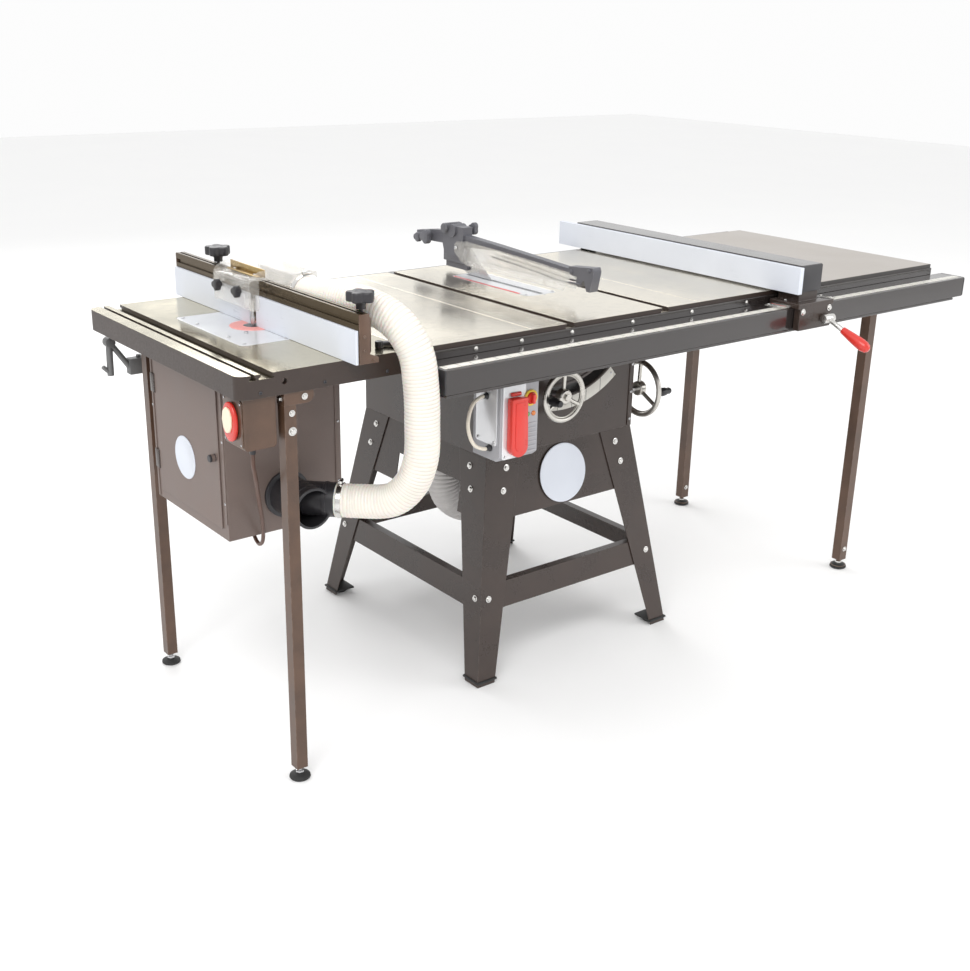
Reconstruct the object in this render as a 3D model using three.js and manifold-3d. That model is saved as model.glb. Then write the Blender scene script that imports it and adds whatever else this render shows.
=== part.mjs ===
// A contractor table saw with an in-line router table on its left, in millimetres, +Z up.
// Working frame: X = 0 at the seam between router table and saw, Y = 0 at the front edge of the
// cast-iron tops, Z = 0 on the floor. The finished group is moved to stand on its own centre.
import * as THREE from 'three';
import { mergeVertices } from 'three/addons/utils/BufferGeometryUtils.js';
import Module from 'manifold-3d';

const wasm = await Module();
wasm.setup();

// ---------------------------------------------------------------- driving dimensions
const GAP = 0.3; // left between touching pieces
const TOP = 873; // table height
const DEPTH = 686; // front to back of every top
const CENTRE = { x: 695, y: 365 }; // middle of the whole machine without its hoses and lead
const SKIRT = 45; // height of a cast top's rim
const PLATE = 12; // thickness of a cast top
const RIM = 12; // thickness of a cast top's rim
const SHEET = 3; // sheet steel

const ROUTER_LEFT = -380; // tops, left to right
const WING_RIGHT = 304;
const CENTRE_RIGHT = 812;
const RIGHT_WING_RIGHT = 1117;
const EXTENSION_RIGHT = 1732;

const BLADE_X = 558; // blade plane
const BLADE_Y = 396; // blade centre
const BLADE_R = 127;
const BLADE_SUNK = 2; // blade's top below the table at rest
const BLADE_Z = TOP - BLADE_SUNK - BLADE_R;
const BLADE_T = 3;

const RAIL = { x0: 20, x1: 1772, y0: -84, y1: -8, z0: 794, z1: 845, wall: 3 };

// foot and top corners of the splayed stand
const STAND = { topZ: 530, x0: 330, x1: 789, y0: 178, y1: 684, splayX: 82, splayY: 89 };
const APRON_BOTTOM = 380;
const STRETCHER = { z0: 172, z1: 234 };
const FLOOR_PORTS = { x: [382, 640], y: 395, z: 494 }; // both ends of the blade dust hose
const HOSE_NOTCH = { x1: 350, y0: 262, y1: 520, top: 452 }; // in the left apron

const ROUTER_X = -160; // router axis
const ROUTER_Y = 350;
const FENCE_FACE_X = -160; // front of the router fence faces
const FENCE = { y0: -46, y1: 717, faceTop: 938, railTop: 969 };
const DUST_BOX = { x0: -321, x1: -55, y0: 185, y1: 515, z0: 480, z1: 847.5 };
const FENCE_HOSE_R = 35;
const SAW_HOSE_R = 44;

// ---------------------------------------------------------------- materials
const paint = (color, roughness = 0.5, metalness = 0) =>
  new THREE.MeshStandardMaterial({ color, roughness, metalness });
const black = () => paint(0x1d1916, 0.45);
const blackPlastic = () => paint(0x17171a, 0.4);
const iron = () => paint(0xb8b09a, 0.3, 0.8);
const steel = () => paint(0xb9bbbd, 0.3, 0.9);
const greyPaint = () => paint(0x8d9093, 0.45, 0.2);
const white = () => paint(0xeef0f3, 0.35);
const red = () => paint(0xc0201c, 0.35);
const clear = () => paint(0xd9d4c0, 0.1);
const hoseSkin = () => paint(0xe6dfd2, 0.4);

// ---------------------------------------------------------------- solids
const model = new THREE.Group();
const unplaced = new THREE.Matrix4();

/** A closed three.js geometry as a manifold solid. */
function solid(geometry, matrix = unplaced) {
  const bare = geometry.index ? geometry.toNonIndexed() : geometry.clone();
  bare.deleteAttribute('normal');
  bare.deleteAttribute('uv');
  const merged = mergeVertices(bare.applyMatrix4(matrix), 1e-4);
  return new wasm.Manifold(new wasm.Mesh({
    numProp: 3,
    vertProperties: new Float32Array(merged.attributes.position.array),
    triVerts: new Uint32Array(merged.index.array),
  }));
}

/** Adds a solid to the model as a named mesh. */
function piece(name, shape, material) {
  const { vertProperties, triVerts } = shape.getMesh();
  const geometry = new THREE.BufferGeometry();
  geometry.setAttribute('position', new THREE.BufferAttribute(vertProperties, 3));
  geometry.setIndex(new THREE.BufferAttribute(triVerts, 1));
  geometry.computeVertexNormals();
  const mesh = new THREE.Mesh(geometry, material);
  mesh.name = name;
  model.add(mesh);
  return mesh;
}

const join = (...shapes) => shapes.reduce((all, one) => all.add(one));
const cut = (shape, ...tools) => tools.reduce((left, tool) => left.subtract(tool), shape);

/** A box between two corners. */
function box(x0, x1, y0, y1, z0, z1) {
  const at = new THREE.Matrix4().makeTranslation((x0 + x1) / 2, (y0 + y1) / 2, (z0 + z1) / 2);
  return solid(new THREE.BoxGeometry(x1 - x0, y1 - y0, z1 - z0), at);
}

const AXES = {
  X: new THREE.Matrix4().makeRotationZ(-Math.PI / 2),
  Y: new THREE.Matrix4(),
  Z: new THREE.Matrix4().makeRotationX(Math.PI / 2),
};

/** A round bar along an axis, from coordinate a to b, centred on the other two coordinates. */
function bar(axis, a, b, [p, q], radius, sides = 24, endRadius = radius) {
  const middle = (a + b) / 2;
  const centre = { X: [middle, p, q], Y: [p, middle, q], Z: [p, q, middle] }[axis];
  const place = new THREE.Matrix4().makeTranslation(...centre).multiply(AXES[axis]);
  return solid(new THREE.CylinderGeometry(endRadius, radius, b - a, sides), place);
}

/** A tube along an axis, open at both ends. */
function pipe(axis, a, b, centre, radius, wall, sides = 24) {
  return cut(bar(axis, a, b, centre, radius, sides), bar(axis, a - 1, b + 1, centre, radius - wall, sides));
}

/** A bar between two points in space. */
function strut(from, to, radius, sides = 8) {
  const a = new THREE.Vector3(...from);
  const b = new THREE.Vector3(...to);
  const turn = new THREE.Quaternion().setFromUnitVectors(
    new THREE.Vector3(0, 1, 0), b.clone().sub(a).normalize());
  const place = new THREE.Matrix4().compose(
    a.clone().add(b).divideScalar(2), turn, new THREE.Vector3(1, 1, 1));
  return solid(new THREE.CylinderGeometry(radius, radius, a.distanceTo(b), sides), place);
}

/** An outline in the plane across an axis, extruded from a to b. X uses (Y, Z), Y uses (X, Z). */
function profile(axis, a, b, points, curveSegments = 6) {
  const shape = points instanceof THREE.Shape ? points
    : new THREE.Shape(points.map(([u, v]) => new THREE.Vector2(u, v)));
  const geometry = new THREE.ExtrudeGeometry(shape, { depth: b - a, bevelEnabled: false, curveSegments });
  const basis = new THREE.Matrix4();
  if (axis === 'X') basis.set(0, 0, 1, a, 1, 0, 0, 0, 0, 1, 0, 0, 0, 0, 0, 1);
  if (axis === 'Y') basis.set(1, 0, 0, 0, 0, 0, -1, b, 0, 1, 0, 0, 0, 0, 0, 1);
  if (axis === 'Z') basis.set(1, 0, 0, 0, 0, 1, 0, 0, 0, 0, 1, a, 0, 0, 0, 1);
  return solid(geometry, basis);
}

/** A rectangle outline with one radius for each corner, counter-clockwise from the lower left. */
function roundedRectangle(x0, x1, y0, y1, radii) {
  const [a, b, c, d] = Array.isArray(radii) ? radii : [radii, radii, radii, radii];
  const shape = new THREE.Shape();
  shape.moveTo(x0 + a, y0).lineTo(x1 - b, y0);
  if (b) shape.absarc(x1 - b, y0 + b, b, -Math.PI / 2, 0);
  shape.lineTo(x1, y1 - c);
  if (c) shape.absarc(x1 - c, y1 - c, c, 0, Math.PI / 2);
  shape.lineTo(x0 + d, y1);
  if (d) shape.absarc(x0 + d, y1 - d, d, Math.PI / 2, Math.PI);
  shape.lineTo(x0, y0 + a);
  if (a) shape.absarc(x0 + a, y0 + a, a, Math.PI, 1.5 * Math.PI);
  return shape;
}

/** A box whose bottom and top rectangles differ: each is [x0, x1, y0, y1]. */
function frustum(z0, bottom, z1, top) {
  const geometry = new THREE.BoxGeometry(1, 1, 1);
  const position = geometry.attributes.position;
  for (let i = 0; i < position.count; i += 1) {
    const rectangle = position.getZ(i) < 0 ? bottom : top;
    position.setXYZ(i,
      position.getX(i) < 0 ? rectangle[0] : rectangle[1],
      position.getY(i) < 0 ? rectangle[2] : rectangle[3],
      position.getZ(i) < 0 ? z0 : z1);
  }
  return solid(geometry);
}

/** A round hose or cable through hand-set points. */
function hose(points, radius, sides, steps) {
  const path = new THREE.CatmullRomCurve3(points.map((p) => new THREE.Vector3(...p)), false, 'centripetal');
  const section = new THREE.Shape();
  for (let i = 0; i < sides; i += 1) {
    const turn = (2 * Math.PI * i) / sides;
    const [u, v] = [radius * Math.cos(turn), radius * Math.sin(turn)];
    if (i === 0) section.moveTo(u, v); else section.lineTo(u, v);
  }
  return solid(new THREE.ExtrudeGeometry(section, { extrudePath: path, steps, bevelEnabled: false }));
}

/** A turned shape: profile points are [radius, height along the axis], starting at `from`. */
function turned(axis, from, [p, q], points, sides = 24) {
  const centre = { X: [from, p, q], Y: [p, from, q], Z: [p, q, from] }[axis];
  const place = new THREE.Matrix4().makeTranslation(...centre).multiply(AXES[axis]);
  const outline = points.map(([r, h]) => new THREE.Vector2(r, h));
  return solid(new THREE.LatheGeometry(outline, sides), place);
}

// ---------------------------------------------------------------- cast-iron tops
/** T-shaped slot along Y in a top: a wide mouth over a wider foot. */
function tSlot(x, mouth, foot, depth, footHeight) {
  return join(
    box(x - mouth / 2, x + mouth / 2, -1, DEPTH + 1, TOP - depth, TOP + 1),
    box(x - foot / 2, x + foot / 2, -1, DEPTH + 1, TOP - depth, TOP - depth + footHeight));
}

/** Cast wing: a plate in a rim with one cross rib. */
function wing(x0, x1) {
  const rib = 8;
  const middle = DEPTH / 2;
  return cut(
    box(x0 + GAP / 2, x1 - GAP / 2, 0, DEPTH, TOP - SKIRT, TOP),
    box(x0 + RIM, x1 - RIM, RIM, middle - rib, TOP - SKIRT - 1, TOP - PLATE),
    box(x0 + RIM, x1 - RIM, middle + rib, DEPTH - RIM, TOP - SKIRT - 1, TOP - PLATE));
}

const INSERT = { x0: 510, x1: 606, y0: 265, y1: 568, depth: 7, ledge: 6, corner: 18 };

function centreTable() {
  const [x0, x1] = [WING_RIGHT, CENTRE_RIGHT];
  const slotX = [411, 699];
  const boss = 22; // half width of the solid strip under each mitre slot
  const ledge = roundedRectangle(INSERT.x0 + INSERT.ledge, INSERT.x1 - INSERT.ledge,
    INSERT.y0 + INSERT.ledge, INSERT.y1 - INSERT.ledge, INSERT.corner - INSERT.ledge);
  const seat = roundedRectangle(INSERT.x0 - GAP, INSERT.x1 + GAP,
    INSERT.y0 - GAP, INSERT.y1 + GAP, INSERT.corner);
  const underneath = TOP - SKIRT - 1;
  return cut(
    box(x0 + GAP / 2, x1 - GAP / 2, 0, DEPTH, TOP - SKIRT, TOP),
    ...slotX.map((x) => tSlot(x, 19, 25, 9.5, 3.2)),
    box(x0 + RIM, slotX[0] - boss, RIM, DEPTH - RIM, underneath, TOP - PLATE),
    box(slotX[0] + boss, slotX[1] - boss, RIM, DEPTH - RIM, underneath, TOP - PLATE),
    box(slotX[1] + boss, x1 - RIM, RIM, DEPTH - RIM, underneath, TOP - PLATE),
    profile('Z', TOP - SKIRT, TOP + 1, ledge, 4),
    profile('Z', TOP - INSERT.depth - GAP, TOP + 1, seat, 4));
}

function throatInsert() {
  const plate = roundedRectangle(INSERT.x0, INSERT.x1, INSERT.y0, INSERT.y1, INSERT.corner);
  const bladeSlot = box(BLADE_X - 4, BLADE_X + 10.5, INSERT.y0 + 7, INSERT.y1 - 7, 0, TOP + 1);
  return cut(profile('Z', TOP - INSERT.depth, TOP, plate, 4), bladeSlot);
}

function extensionTable() {
  const thickness = 38;
  return cut(
    box(RIGHT_WING_RIGHT + GAP / 2, EXTENSION_RIGHT, 0, DEPTH, TOP - thickness, TOP),
    box(RIGHT_WING_RIGHT + 22, EXTENSION_RIGHT - 22, 22, DEPTH - 22, TOP - thickness - 1, TOP - 20));
}

piece('left_wing', wing(0, WING_RIGHT), iron());
piece('centre_table', centreTable(), iron());
piece('right_wing', wing(CENTRE_RIGHT, RIGHT_WING_RIGHT), iron());
piece('throat_insert', throatInsert(), steel());
piece('extension_table', extensionTable(), black());

// ---------------------------------------------------------------- rails
const ANGLE = { thickness: 6, top: TOP - 10 }; // clear of the mitre slots' ends
const REAR_LEDGE = 50;

function railTube() {
  const { x0, x1, y0, y1, z0, z1, wall } = RAIL;
  return cut(box(x0, x1, y0, y1, z0 + GAP, z1),
    box(x0 - 1, x1 + 1, y0 + wall, y1 - wall, z0 + GAP + wall, z1 - wall));
}

function frontAngle() {
  const bottom = RAIL.z0 - ANGLE.thickness;
  return profile('X', RAIL.x0, EXTENSION_RIGHT, [
    [-GAP, bottom], [-GAP, ANGLE.top], [-GAP - ANGLE.thickness, ANGLE.top],
    [-GAP - ANGLE.thickness, RAIL.z0], [RAIL.y0, RAIL.z0], [RAIL.y0, bottom]].reverse());
}

function rearAngle() {
  const inner = DEPTH + GAP;
  const outer = inner + ANGLE.thickness;
  const low = TOP - 61;
  return profile('X', RAIL.x0, EXTENSION_RIGHT, [
    [inner, low], [outer, low], [outer, ANGLE.top - ANGLE.thickness],
    [inner + REAR_LEDGE, ANGLE.top - ANGLE.thickness], [inner + REAR_LEDGE, ANGLE.top], [inner, ANGLE.top]]);
}

piece('front_rail_tube', railTube(), black());
piece('front_rail_angle', frontAngle(), black());
piece('rear_rail_angle', rearAngle(), black());

// ---------------------------------------------------------------- table legs
const EXTENSION_TUBE = 28;
const ROUTER_TUBE = 25;
const FOOT = { radius: 22, pad: 9, stem: 6, stemTop: 40 };

/** Square tube leg, open at its foot for the levelling stem. */
function squareLeg(x, y, z0, z1, width) {
  const [outer, inner] = [width / 2, width / 2 - 2.5];
  return cut(box(x - outer, x + outer, y - outer, y + outer, z0, z1),
    box(x - inner, x + inner, y - inner, y + inner, z0 - 1, z1 - 6));
}

/** Levelling foot: a round pad with a threaded stem going up into the leg. */
function levellingFoot(x, y) {
  return turned('Z', 0, [x, y], [
    [0, 0], [FOOT.radius - 2, 0], [FOOT.radius, 3], [FOOT.radius - 4, FOOT.pad],
    [FOOT.stem + 3, FOOT.pad + 2], [FOOT.stem + 3, FOOT.pad + 8],
    [FOOT.stem, FOOT.pad + 8], [FOOT.stem, FOOT.stemTop + 25], [0, FOOT.stemTop + 25]], 16);
}

const legFoot = 26; // bottom of a square leg above the floor

/** Extension leg with its mounting plate and gusset, standing on its own pad. */
function extensionLeg(x, y) {
  const top = TOP - 38 - GAP;
  const plate = box(x - 45, x + 45, y - 14, y + 14, top - 4, top);
  const gusset = profile('Y', y - 2, y + 2, [[x - 42, top - 2], [x, top - 50], [x + 42, top - 2]]);
  return join(squareLeg(x, y, legFoot, top - 1, EXTENSION_TUBE), plate, gusset,
    bar('Z', FOOT.pad - 1, legFoot + 1, [x, y], FOOT.stem, 12),
    box(x - 12, x + 12, y - 5, y + 5, legFoot, legFoot + 5),
    bar('Z', 0, FOOT.pad, [x, y], FOOT.radius - 3, 16, FOOT.radius));
}

const EXTENSION_LEG_X = 1540;
piece('extension_leg_front', extensionLeg(EXTENSION_LEG_X, 40), black());
piece('extension_leg_rear', extensionLeg(EXTENSION_LEG_X, DEPTH - 20), black());

/** Router leg: tube, and a channel bracket with a rounded outer end under the apron. */
function routerLeg(x, y) {
  const top = TOP - SKIRT - GAP;
  const bracket = profile('Y', y - 14, y + 14,
    roundedRectangle(x - 13, x + 50, top - 24, top, [0, 14, 0, 0]), 4);
  return join(squareLeg(x, y, legFoot, top - 5, ROUTER_TUBE), bracket);
}

const ROUTER_LEG_X = -273;
const ROUTER_LEG_Y = [16.5, 632];
['front', 'rear'].forEach((end, i) => {
  piece(`router_leg_${end}`, routerLeg(ROUTER_LEG_X, ROUTER_LEG_Y[i]), black());
  piece(`router_foot_${end}`, levellingFoot(ROUTER_LEG_X, ROUTER_LEG_Y[i]), blackPlastic());
});

// ---------------------------------------------------------------- stand
/** Plan rectangle of the splayed stand at height z, grown outwards by `out`. */
function standAt(z, out) {
  const t = 1 - z / STAND.topZ;
  const [dx, dy] = [STAND.splayX * t + out, STAND.splayY * t + out];
  return [STAND.x0 - dx, STAND.x1 + dx, STAND.y0 - dy, STAND.y1 + dy];
}

/** Four-sided skin of the stand between two heights, as thick as the sheet. */
function standSkin(z0, z1, out) {
  return cut(frustum(z0, standAt(z0, out), z1, standAt(z1, out)),
    frustum(z0 - 1, standAt(z0 - 1, out - SHEET), z1 + 1, standAt(z1 + 1, out - SHEET)));
}

/** One bent-sheet leg, wide at the apron and narrow at the foot. */
function standLeg(right, rear) {
  const [foot, top] = [52, 104];
  const corner = (z, width) => {
    const [x0, x1, y0, y1] = standAt(z, 1);
    return [
      right ? x1 - width : x0, right ? x1 : x0 + width,
      rear ? y1 - width : y0, rear ? y1 : y0 + width];
  };
  const region = frustum(0, corner(0, foot), STAND.topZ, corner(STAND.topZ, top));
  return standSkin(0, STAND.topZ, 0).intersect(region);
}

/** Apron ring with an inward flange along its top. */
function upperFrame() {
  const inner = standAt(STAND.topZ, -SHEET - GAP);
  const lip = 26;
  const flange = cut(box(inner[0], inner[1], inner[2], inner[3], STAND.topZ - SHEET, STAND.topZ),
    box(inner[0] + lip, inner[1] - lip, inner[2] + lip, inner[3] - lip, 0, TOP));
  const skin = standSkin(APRON_BOTTOM, STAND.topZ, -SHEET - GAP);
  const notch = box(0, HOSE_NOTCH.x1, HOSE_NOTCH.y0, HOSE_NOTCH.y1, 0, HOSE_NOTCH.top);
  const clearance = bar('Z', 0, TOP, [FLOOR_PORTS.x[0], FLOOR_PORTS.y], SAW_HOSE_R + 1, 24);
  return join(cut(skin, notch), cut(flange, clearance));
}

/** Stretcher ring with an inward flange along its top. */
function lowerFrame() {
  const inner = standAt(STRETCHER.z1, -SHEET - GAP);
  const lip = 22;
  const flange = cut(
    box(inner[0], inner[1], inner[2], inner[3], STRETCHER.z1 - SHEET, STRETCHER.z1),
    box(inner[0] + lip, inner[1] - lip, inner[2] + lip, inner[3] - lip, 0, TOP));
  return join(standSkin(STRETCHER.z0, STRETCHER.z1, -SHEET - GAP), flange);
}

for (const [end, rear] of [['front', false], ['rear', true]]) {
  for (const [side, right] of [['left', false], ['right', true]]) {
    piece(`stand_leg_${end}_${side}`, standLeg(right, rear), black());
  }
}
piece('stand_upper_frame', upperFrame(), black());
piece('stand_lower_frame', lowerFrame(), black());

// ---------------------------------------------------------------- cabinet
// The front handwheel swings with the blade about the line of the blade on the table top.
const WHEEL_SWING = { radius: 216, angle: -0.176 };
const TILT_WHEEL = { y: 205, z: 613, hole: 10 };

/** A place in the tilting frame: angle from straight down, towards +X, about the tilt line. */
function swing(radius, angle) {
  return [BLADE_X + radius * Math.sin(angle), TOP - radius * Math.cos(angle)];
}

/** A band of an annulus about the tilt line. */
function swingBand(inner, outer, from, to) {
  const shape = new THREE.Shape();
  const down = -Math.PI / 2;
  shape.absarc(BLADE_X, TOP, outer, down + from, down + to, false);
  shape.absarc(BLADE_X, TOP, inner, down + to, down + from, true);
  return shape;
}

function cabinet() {
  const { x0, x1, y0, y1, topZ } = STAND;
  const [z0, z1] = [topZ + GAP, TOP - SKIRT - GAP];
  const slot = swingBand(WHEEL_SWING.radius - 12, WHEEL_SWING.radius + 12,
    WHEEL_SWING.angle - 0.06, WHEEL_SWING.angle + Math.PI / 4 + 0.06);
  const shell = cut(box(x0, x1, y0, y1, z0, z1),
    box(x0 + SHEET, x1 - SHEET, y0 + SHEET, y1 - SHEET, z0 + SHEET, z1 + 1),
    box(x0 + 30, x1 - 25, y1 - SHEET - 1, y1 + 1, z0 + 30, z1 + 1),
    profile('Y', y0 - 1, y0 + SHEET + 1, slot, 10),
    bar('X', x1 - SHEET - 1, x1 + 1, [TILT_WHEEL.y, TILT_WHEEL.z], TILT_WHEEL.hole, 16));
  const port = (x, radius, low, high) => bar('Z', low, high, [x, FLOOR_PORTS.y], radius, 16);
  return cut(
    join(shell, ...FLOOR_PORTS.x.map((x) => port(x, SAW_HOSE_R, FLOOR_PORTS.z, z0 + 1))),
    ...FLOOR_PORTS.x.map((x) => port(x, SAW_HOSE_R - 4, FLOOR_PORTS.z - 1, z0 + 5)));
}

piece('cabinet', cabinet(), black());

// ---------------------------------------------------------------- tilting blade assembly
const TRUNNION = { inner: 122, outer: 236, half: 0.32, front: 206, rear: 590, plate: 12 };
const WAY = { y: 326, thickness: 14 };
const MOTOR = { x: 583, z: TOP - 228, radius: 82, y0: 752, y1: 962 };

/** Two trunnion segments, the tie bars, the way plate and the motor bracket. */
function trunnionFrame() {
  const band = swingBand(TRUNNION.inner, TRUNNION.outer, -TRUNNION.half, TRUNNION.half);
  const { front, rear, plate } = TRUNNION;
  const ties = [-0.27, 0.27].map((angle) => {
    const [x, z] = swing(218, angle);
    return box(x - 9, x + 9, front + 1, rear + 1, z - 9, z + 9);
  });
  const way = box(BLADE_X - 78, BLADE_X - 12, WAY.y, WAY.y + WAY.thickness, TOP - 226, TOP - 70);
  const bracket = box(BLADE_X + 10, BLADE_X + 56, rear + 1, MOTOR.y0 - GAP, TOP - 228, TOP - 184);
  return join(profile('Y', front, front + plate, band, 6), profile('Y', rear, rear + plate, band, 6),
    ...ties, way, bracket);
}

/** Motor: a drum with a cooling fan cover and a terminal box. */
function motor() {
  const { x, z, radius, y0, y1 } = MOTOR;
  return join(bar('Y', y0, y1 - 22, [x, z], radius, 24), bar('Y', y1 - 23, y1, [x, z], radius - 8, 24),
    box(x + radius - 12, x + radius + 30, y0 + 45, y0 + 135, z - 34, z + 34));
}

const ARBOR_R = 8;
const CARRIAGE = { x0: BLADE_X - 76, x1: BLADE_X - 8, y0: 340.3, y1: 440 };

/** Arbor block with its rear arm, which carries the riving knife. */
function arborCarriage() {
  const block = box(CARRIAGE.x0, CARRIAGE.x1, CARRIAGE.y0, CARRIAGE.y1, BLADE_Z - 28, BLADE_Z + 28);
  const arm = box(BLADE_X - 26, BLADE_X - 10, CARRIAGE.y1 - 1, 560, BLADE_Z - 12, BLADE_Z + 16);
  const clamp = box(BLADE_X - 26, BLADE_X - 1.2 - GAP, 530, 560, BLADE_Z - 12, BLADE_Z + 16);
  return cut(join(block, arm, clamp),
    bar('X', CARRIAGE.x0 - 1, CARRIAGE.x1 + 1, [BLADE_Y, BLADE_Z], ARBOR_R + GAP, 16));
}

/** Blade, collars, arbor, nut and pulley, which all turn together. */
function sawBlade() {
  const teeth = 40;
  const rim = new THREE.Shape();
  for (let i = 0; i < teeth; i += 1) {
    const turn = (2 * Math.PI * i) / teeth;
    const gullet = turn + (1.1 * Math.PI) / teeth;
    const tip = [BLADE_Y + BLADE_R * Math.cos(turn), BLADE_Z + BLADE_R * Math.sin(turn)];
    const root = [BLADE_Y + (BLADE_R - 8) * Math.cos(gullet), BLADE_Z + (BLADE_R - 8) * Math.sin(gullet)];
    if (i === 0) rim.moveTo(...tip); else rim.lineTo(...tip);
    rim.lineTo(...root);
  }
  const centre = [BLADE_Y, BLADE_Z];
  return join(profile('X', BLADE_X - BLADE_T / 2, BLADE_X + BLADE_T / 2, rim),
    bar('X', CARRIAGE.x1 + GAP, BLADE_X + 7, centre, 24, 20),
    bar('X', BLADE_X - 100, BLADE_X + 16, centre, ARBOR_R, 16),
    bar('X', BLADE_X + 6, BLADE_X + 14, centre, 13, 6),
    bar('X', BLADE_X - 99, CARRIAGE.x0 - GAP - 2, centre, 28, 20));
}

piece('trunnion_frame', trunnionFrame(), greyPaint());
piece('saw_motor', motor(), black());
piece('arbor_carriage', arborCarriage(), greyPaint());
piece('saw_blade', sawBlade(), steel());

// ---------------------------------------------------------------- riving knife and blade guard
const KNIFE_T = 2.4;
const KNIFE_R = BLADE_R + 5; // inner edge follows the blade
const GUARD = { half: 10, postHalf: 15, footHalf: 8, noseHalf: 12, footBottom: TOP + 11 };

/** Knife: hugs the back of the blade, then rises above the table to carry the guard. */
function rivingKnife() {
  const shape = new THREE.Shape();
  const low = BLADE_Z - 12;
  shape.moveTo(556, low).lineTo(BLADE_Y + KNIFE_R, low);
  shape.absarc(BLADE_Y, BLADE_Z, KNIFE_R, 0, 1.18, false);
  shape.lineTo(470, TOP + 8).lineTo(548, TOP + 72).lineTo(640, TOP + 72);
  shape.lineTo(640, TOP + 34).lineTo(556, TOP + 3);
  return profile('X', BLADE_X - KNIFE_T / 2, BLADE_X + KNIFE_T / 2, shape, 8);
}

/** Guard spine: rear post, sloping top arm and rounded nose. */
function guardArm() {
  const { half, postHalf, footHalf, noseHalf, footBottom } = GUARD;
  const spine = profile('X', BLADE_X - half, BLADE_X + half, [
    [150, 936], [150, 950], [429, 965], [640, 974], [700, 968], [766, 958], [766, 936], [652, 940],
    [640, 903], [585, 897], [556, 942], [429, 951]]);
  const post = box(BLADE_X - postHalf, BLADE_X + postHalf, 560, 640, 900, 990);
  const foot = box(BLADE_X - footHalf, BLADE_X + footHalf, 550, 638, footBottom, 905);
  const drum = bar('X', BLADE_X - 20, BLADE_X + 20, [602, 978], 16, 16);
  const nose = profile('X', BLADE_X - noseHalf, BLADE_X + noseHalf, [
    [164, 938], [164, 956], [84, 964], [80, 954], [90, 908], [102, 908], [112, 932], [128, 914], [138, 917],
    [136, 936]].reverse());
  const slit = box(BLADE_X - KNIFE_T / 2 - GAP, BLADE_X + KNIFE_T / 2 + GAP, 440, 641, 800, TOP + 72 + GAP);
  return cut(join(spine, post, foot, drum, nose), slit);
}

/** One clear side shield, hung from the arm's rear pivot. */
function guardShield(side) {
  const inner = BLADE_X + side * 17;
  const outer = BLADE_X + side * 20;
  return profile('X', Math.min(inner, outer), Math.max(inner, outer), [
    [170, 899], [540, 899], [590, 925], [590, 952], [540, 960], [152, 944]]);
}

piece('riving_knife', rivingKnife(), steel());
piece('guard_arm', guardArm(), greyPaint());
piece('guard_shield_left', guardShield(-1), clear());
piece('guard_shield_right', guardShield(1), clear());

// ---------------------------------------------------------------- handwheels
/** Spoked handwheel with its shaft along Y, the rim centred on the origin. */
function handwheel(radius, rimRadius, shaftLength, handle) {
  const ring = new THREE.TorusGeometry(radius - rimRadius, rimRadius, 8, 28);
  const facing = new THREE.Matrix4().makeRotationX(Math.PI / 2);
  const spokes = [0, 1, 2].map((i) => {
    const turn = Math.PI / 2 + (i * 2 * Math.PI) / 3;
    const reach = radius - rimRadius;
    return strut([0, 0, 0], [reach * Math.cos(turn), 0, reach * Math.sin(turn)], rimRadius * 0.7, 8);
  });
  const grip = turned('Y', -42, [handle, 0], [
    [0, 0], [9, 2], [11, 12], [8, 30], [6, 34], [6, 42], [0, 42]], 12);
  return join(solid(ring, facing), ...spokes, bar('Y', -9, 12, [0, 0], 17, 20),
    bar('Y', 5, shaftLength, [0, 0], 7, 16), grip);
}

const [ELEVATION_X, ELEVATION_Z] = swing(WHEEL_SWING.radius, WHEEL_SWING.angle);
const ELEVATION_WHEEL_Y = 132;
const elevation = handwheel(64, 7, TRUNNION.front - GAP - ELEVATION_WHEEL_Y, 52)
  .translate([ELEVATION_X, ELEVATION_WHEEL_Y, ELEVATION_Z]);
piece('elevation_handwheel', elevation, steel());

const TILT_WHEEL_X = 841;
const tilt = handwheel(75, 7.5, TILT_WHEEL_X - 712, 62).rotate([0, 0, 90])
  .translate([TILT_WHEEL_X, TILT_WHEEL.y, TILT_WHEEL.z]);
piece('tilt_handwheel', tilt, steel());

// ---------------------------------------------------------------- saw switch
const SWITCH = { x0: 198, x1: 300, y0: -32, y1: 60, z0: 606, z1: 787.5 };

function sawSwitchBox() {
  const { x0, x1, y0, y1, z0, z1 } = SWITCH;
  const side = [[y0, z0 + 10], [y0 + 12, z0], [y1, z0], [y1, z1], [y0, z1]];
  const bezel = pipe('Y', y0 - 5, y0 + 1, [276, 738], 17, 4, 20);
  return join(profile('X', x0, x1, side), bezel);
}

function sawSwitchPaddle() {
  const front = new THREE.Shape();
  front.moveTo(214, 748).lineTo(254, 748).lineTo(258, 640);
  front.absarc(236, 640, 22, 0, -Math.PI, true);
  const lug = box(224, 244, SWITCH.y0 - 8, SWITCH.y0 - GAP, 738, 756);
  return join(profile('Y', SWITCH.y0 - 22, SWITCH.y0 - GAP - 1, front, 6), lug);
}

function powerSwitch() {
  return join(bar('Y', SWITCH.y0 - 9, SWITCH.y0 - GAP, [276, 738], 12.5, 20),
    box(272.5, 279.5, SWITCH.y0 - 17, SWITCH.y0 - 8, 728, 748));
}

piece('saw_switch_box', sawSwitchBox(), greyPaint());
piece('saw_switch_paddle', sawSwitchPaddle(), red());
piece('main_power_switch', powerSwitch(), red());

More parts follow.
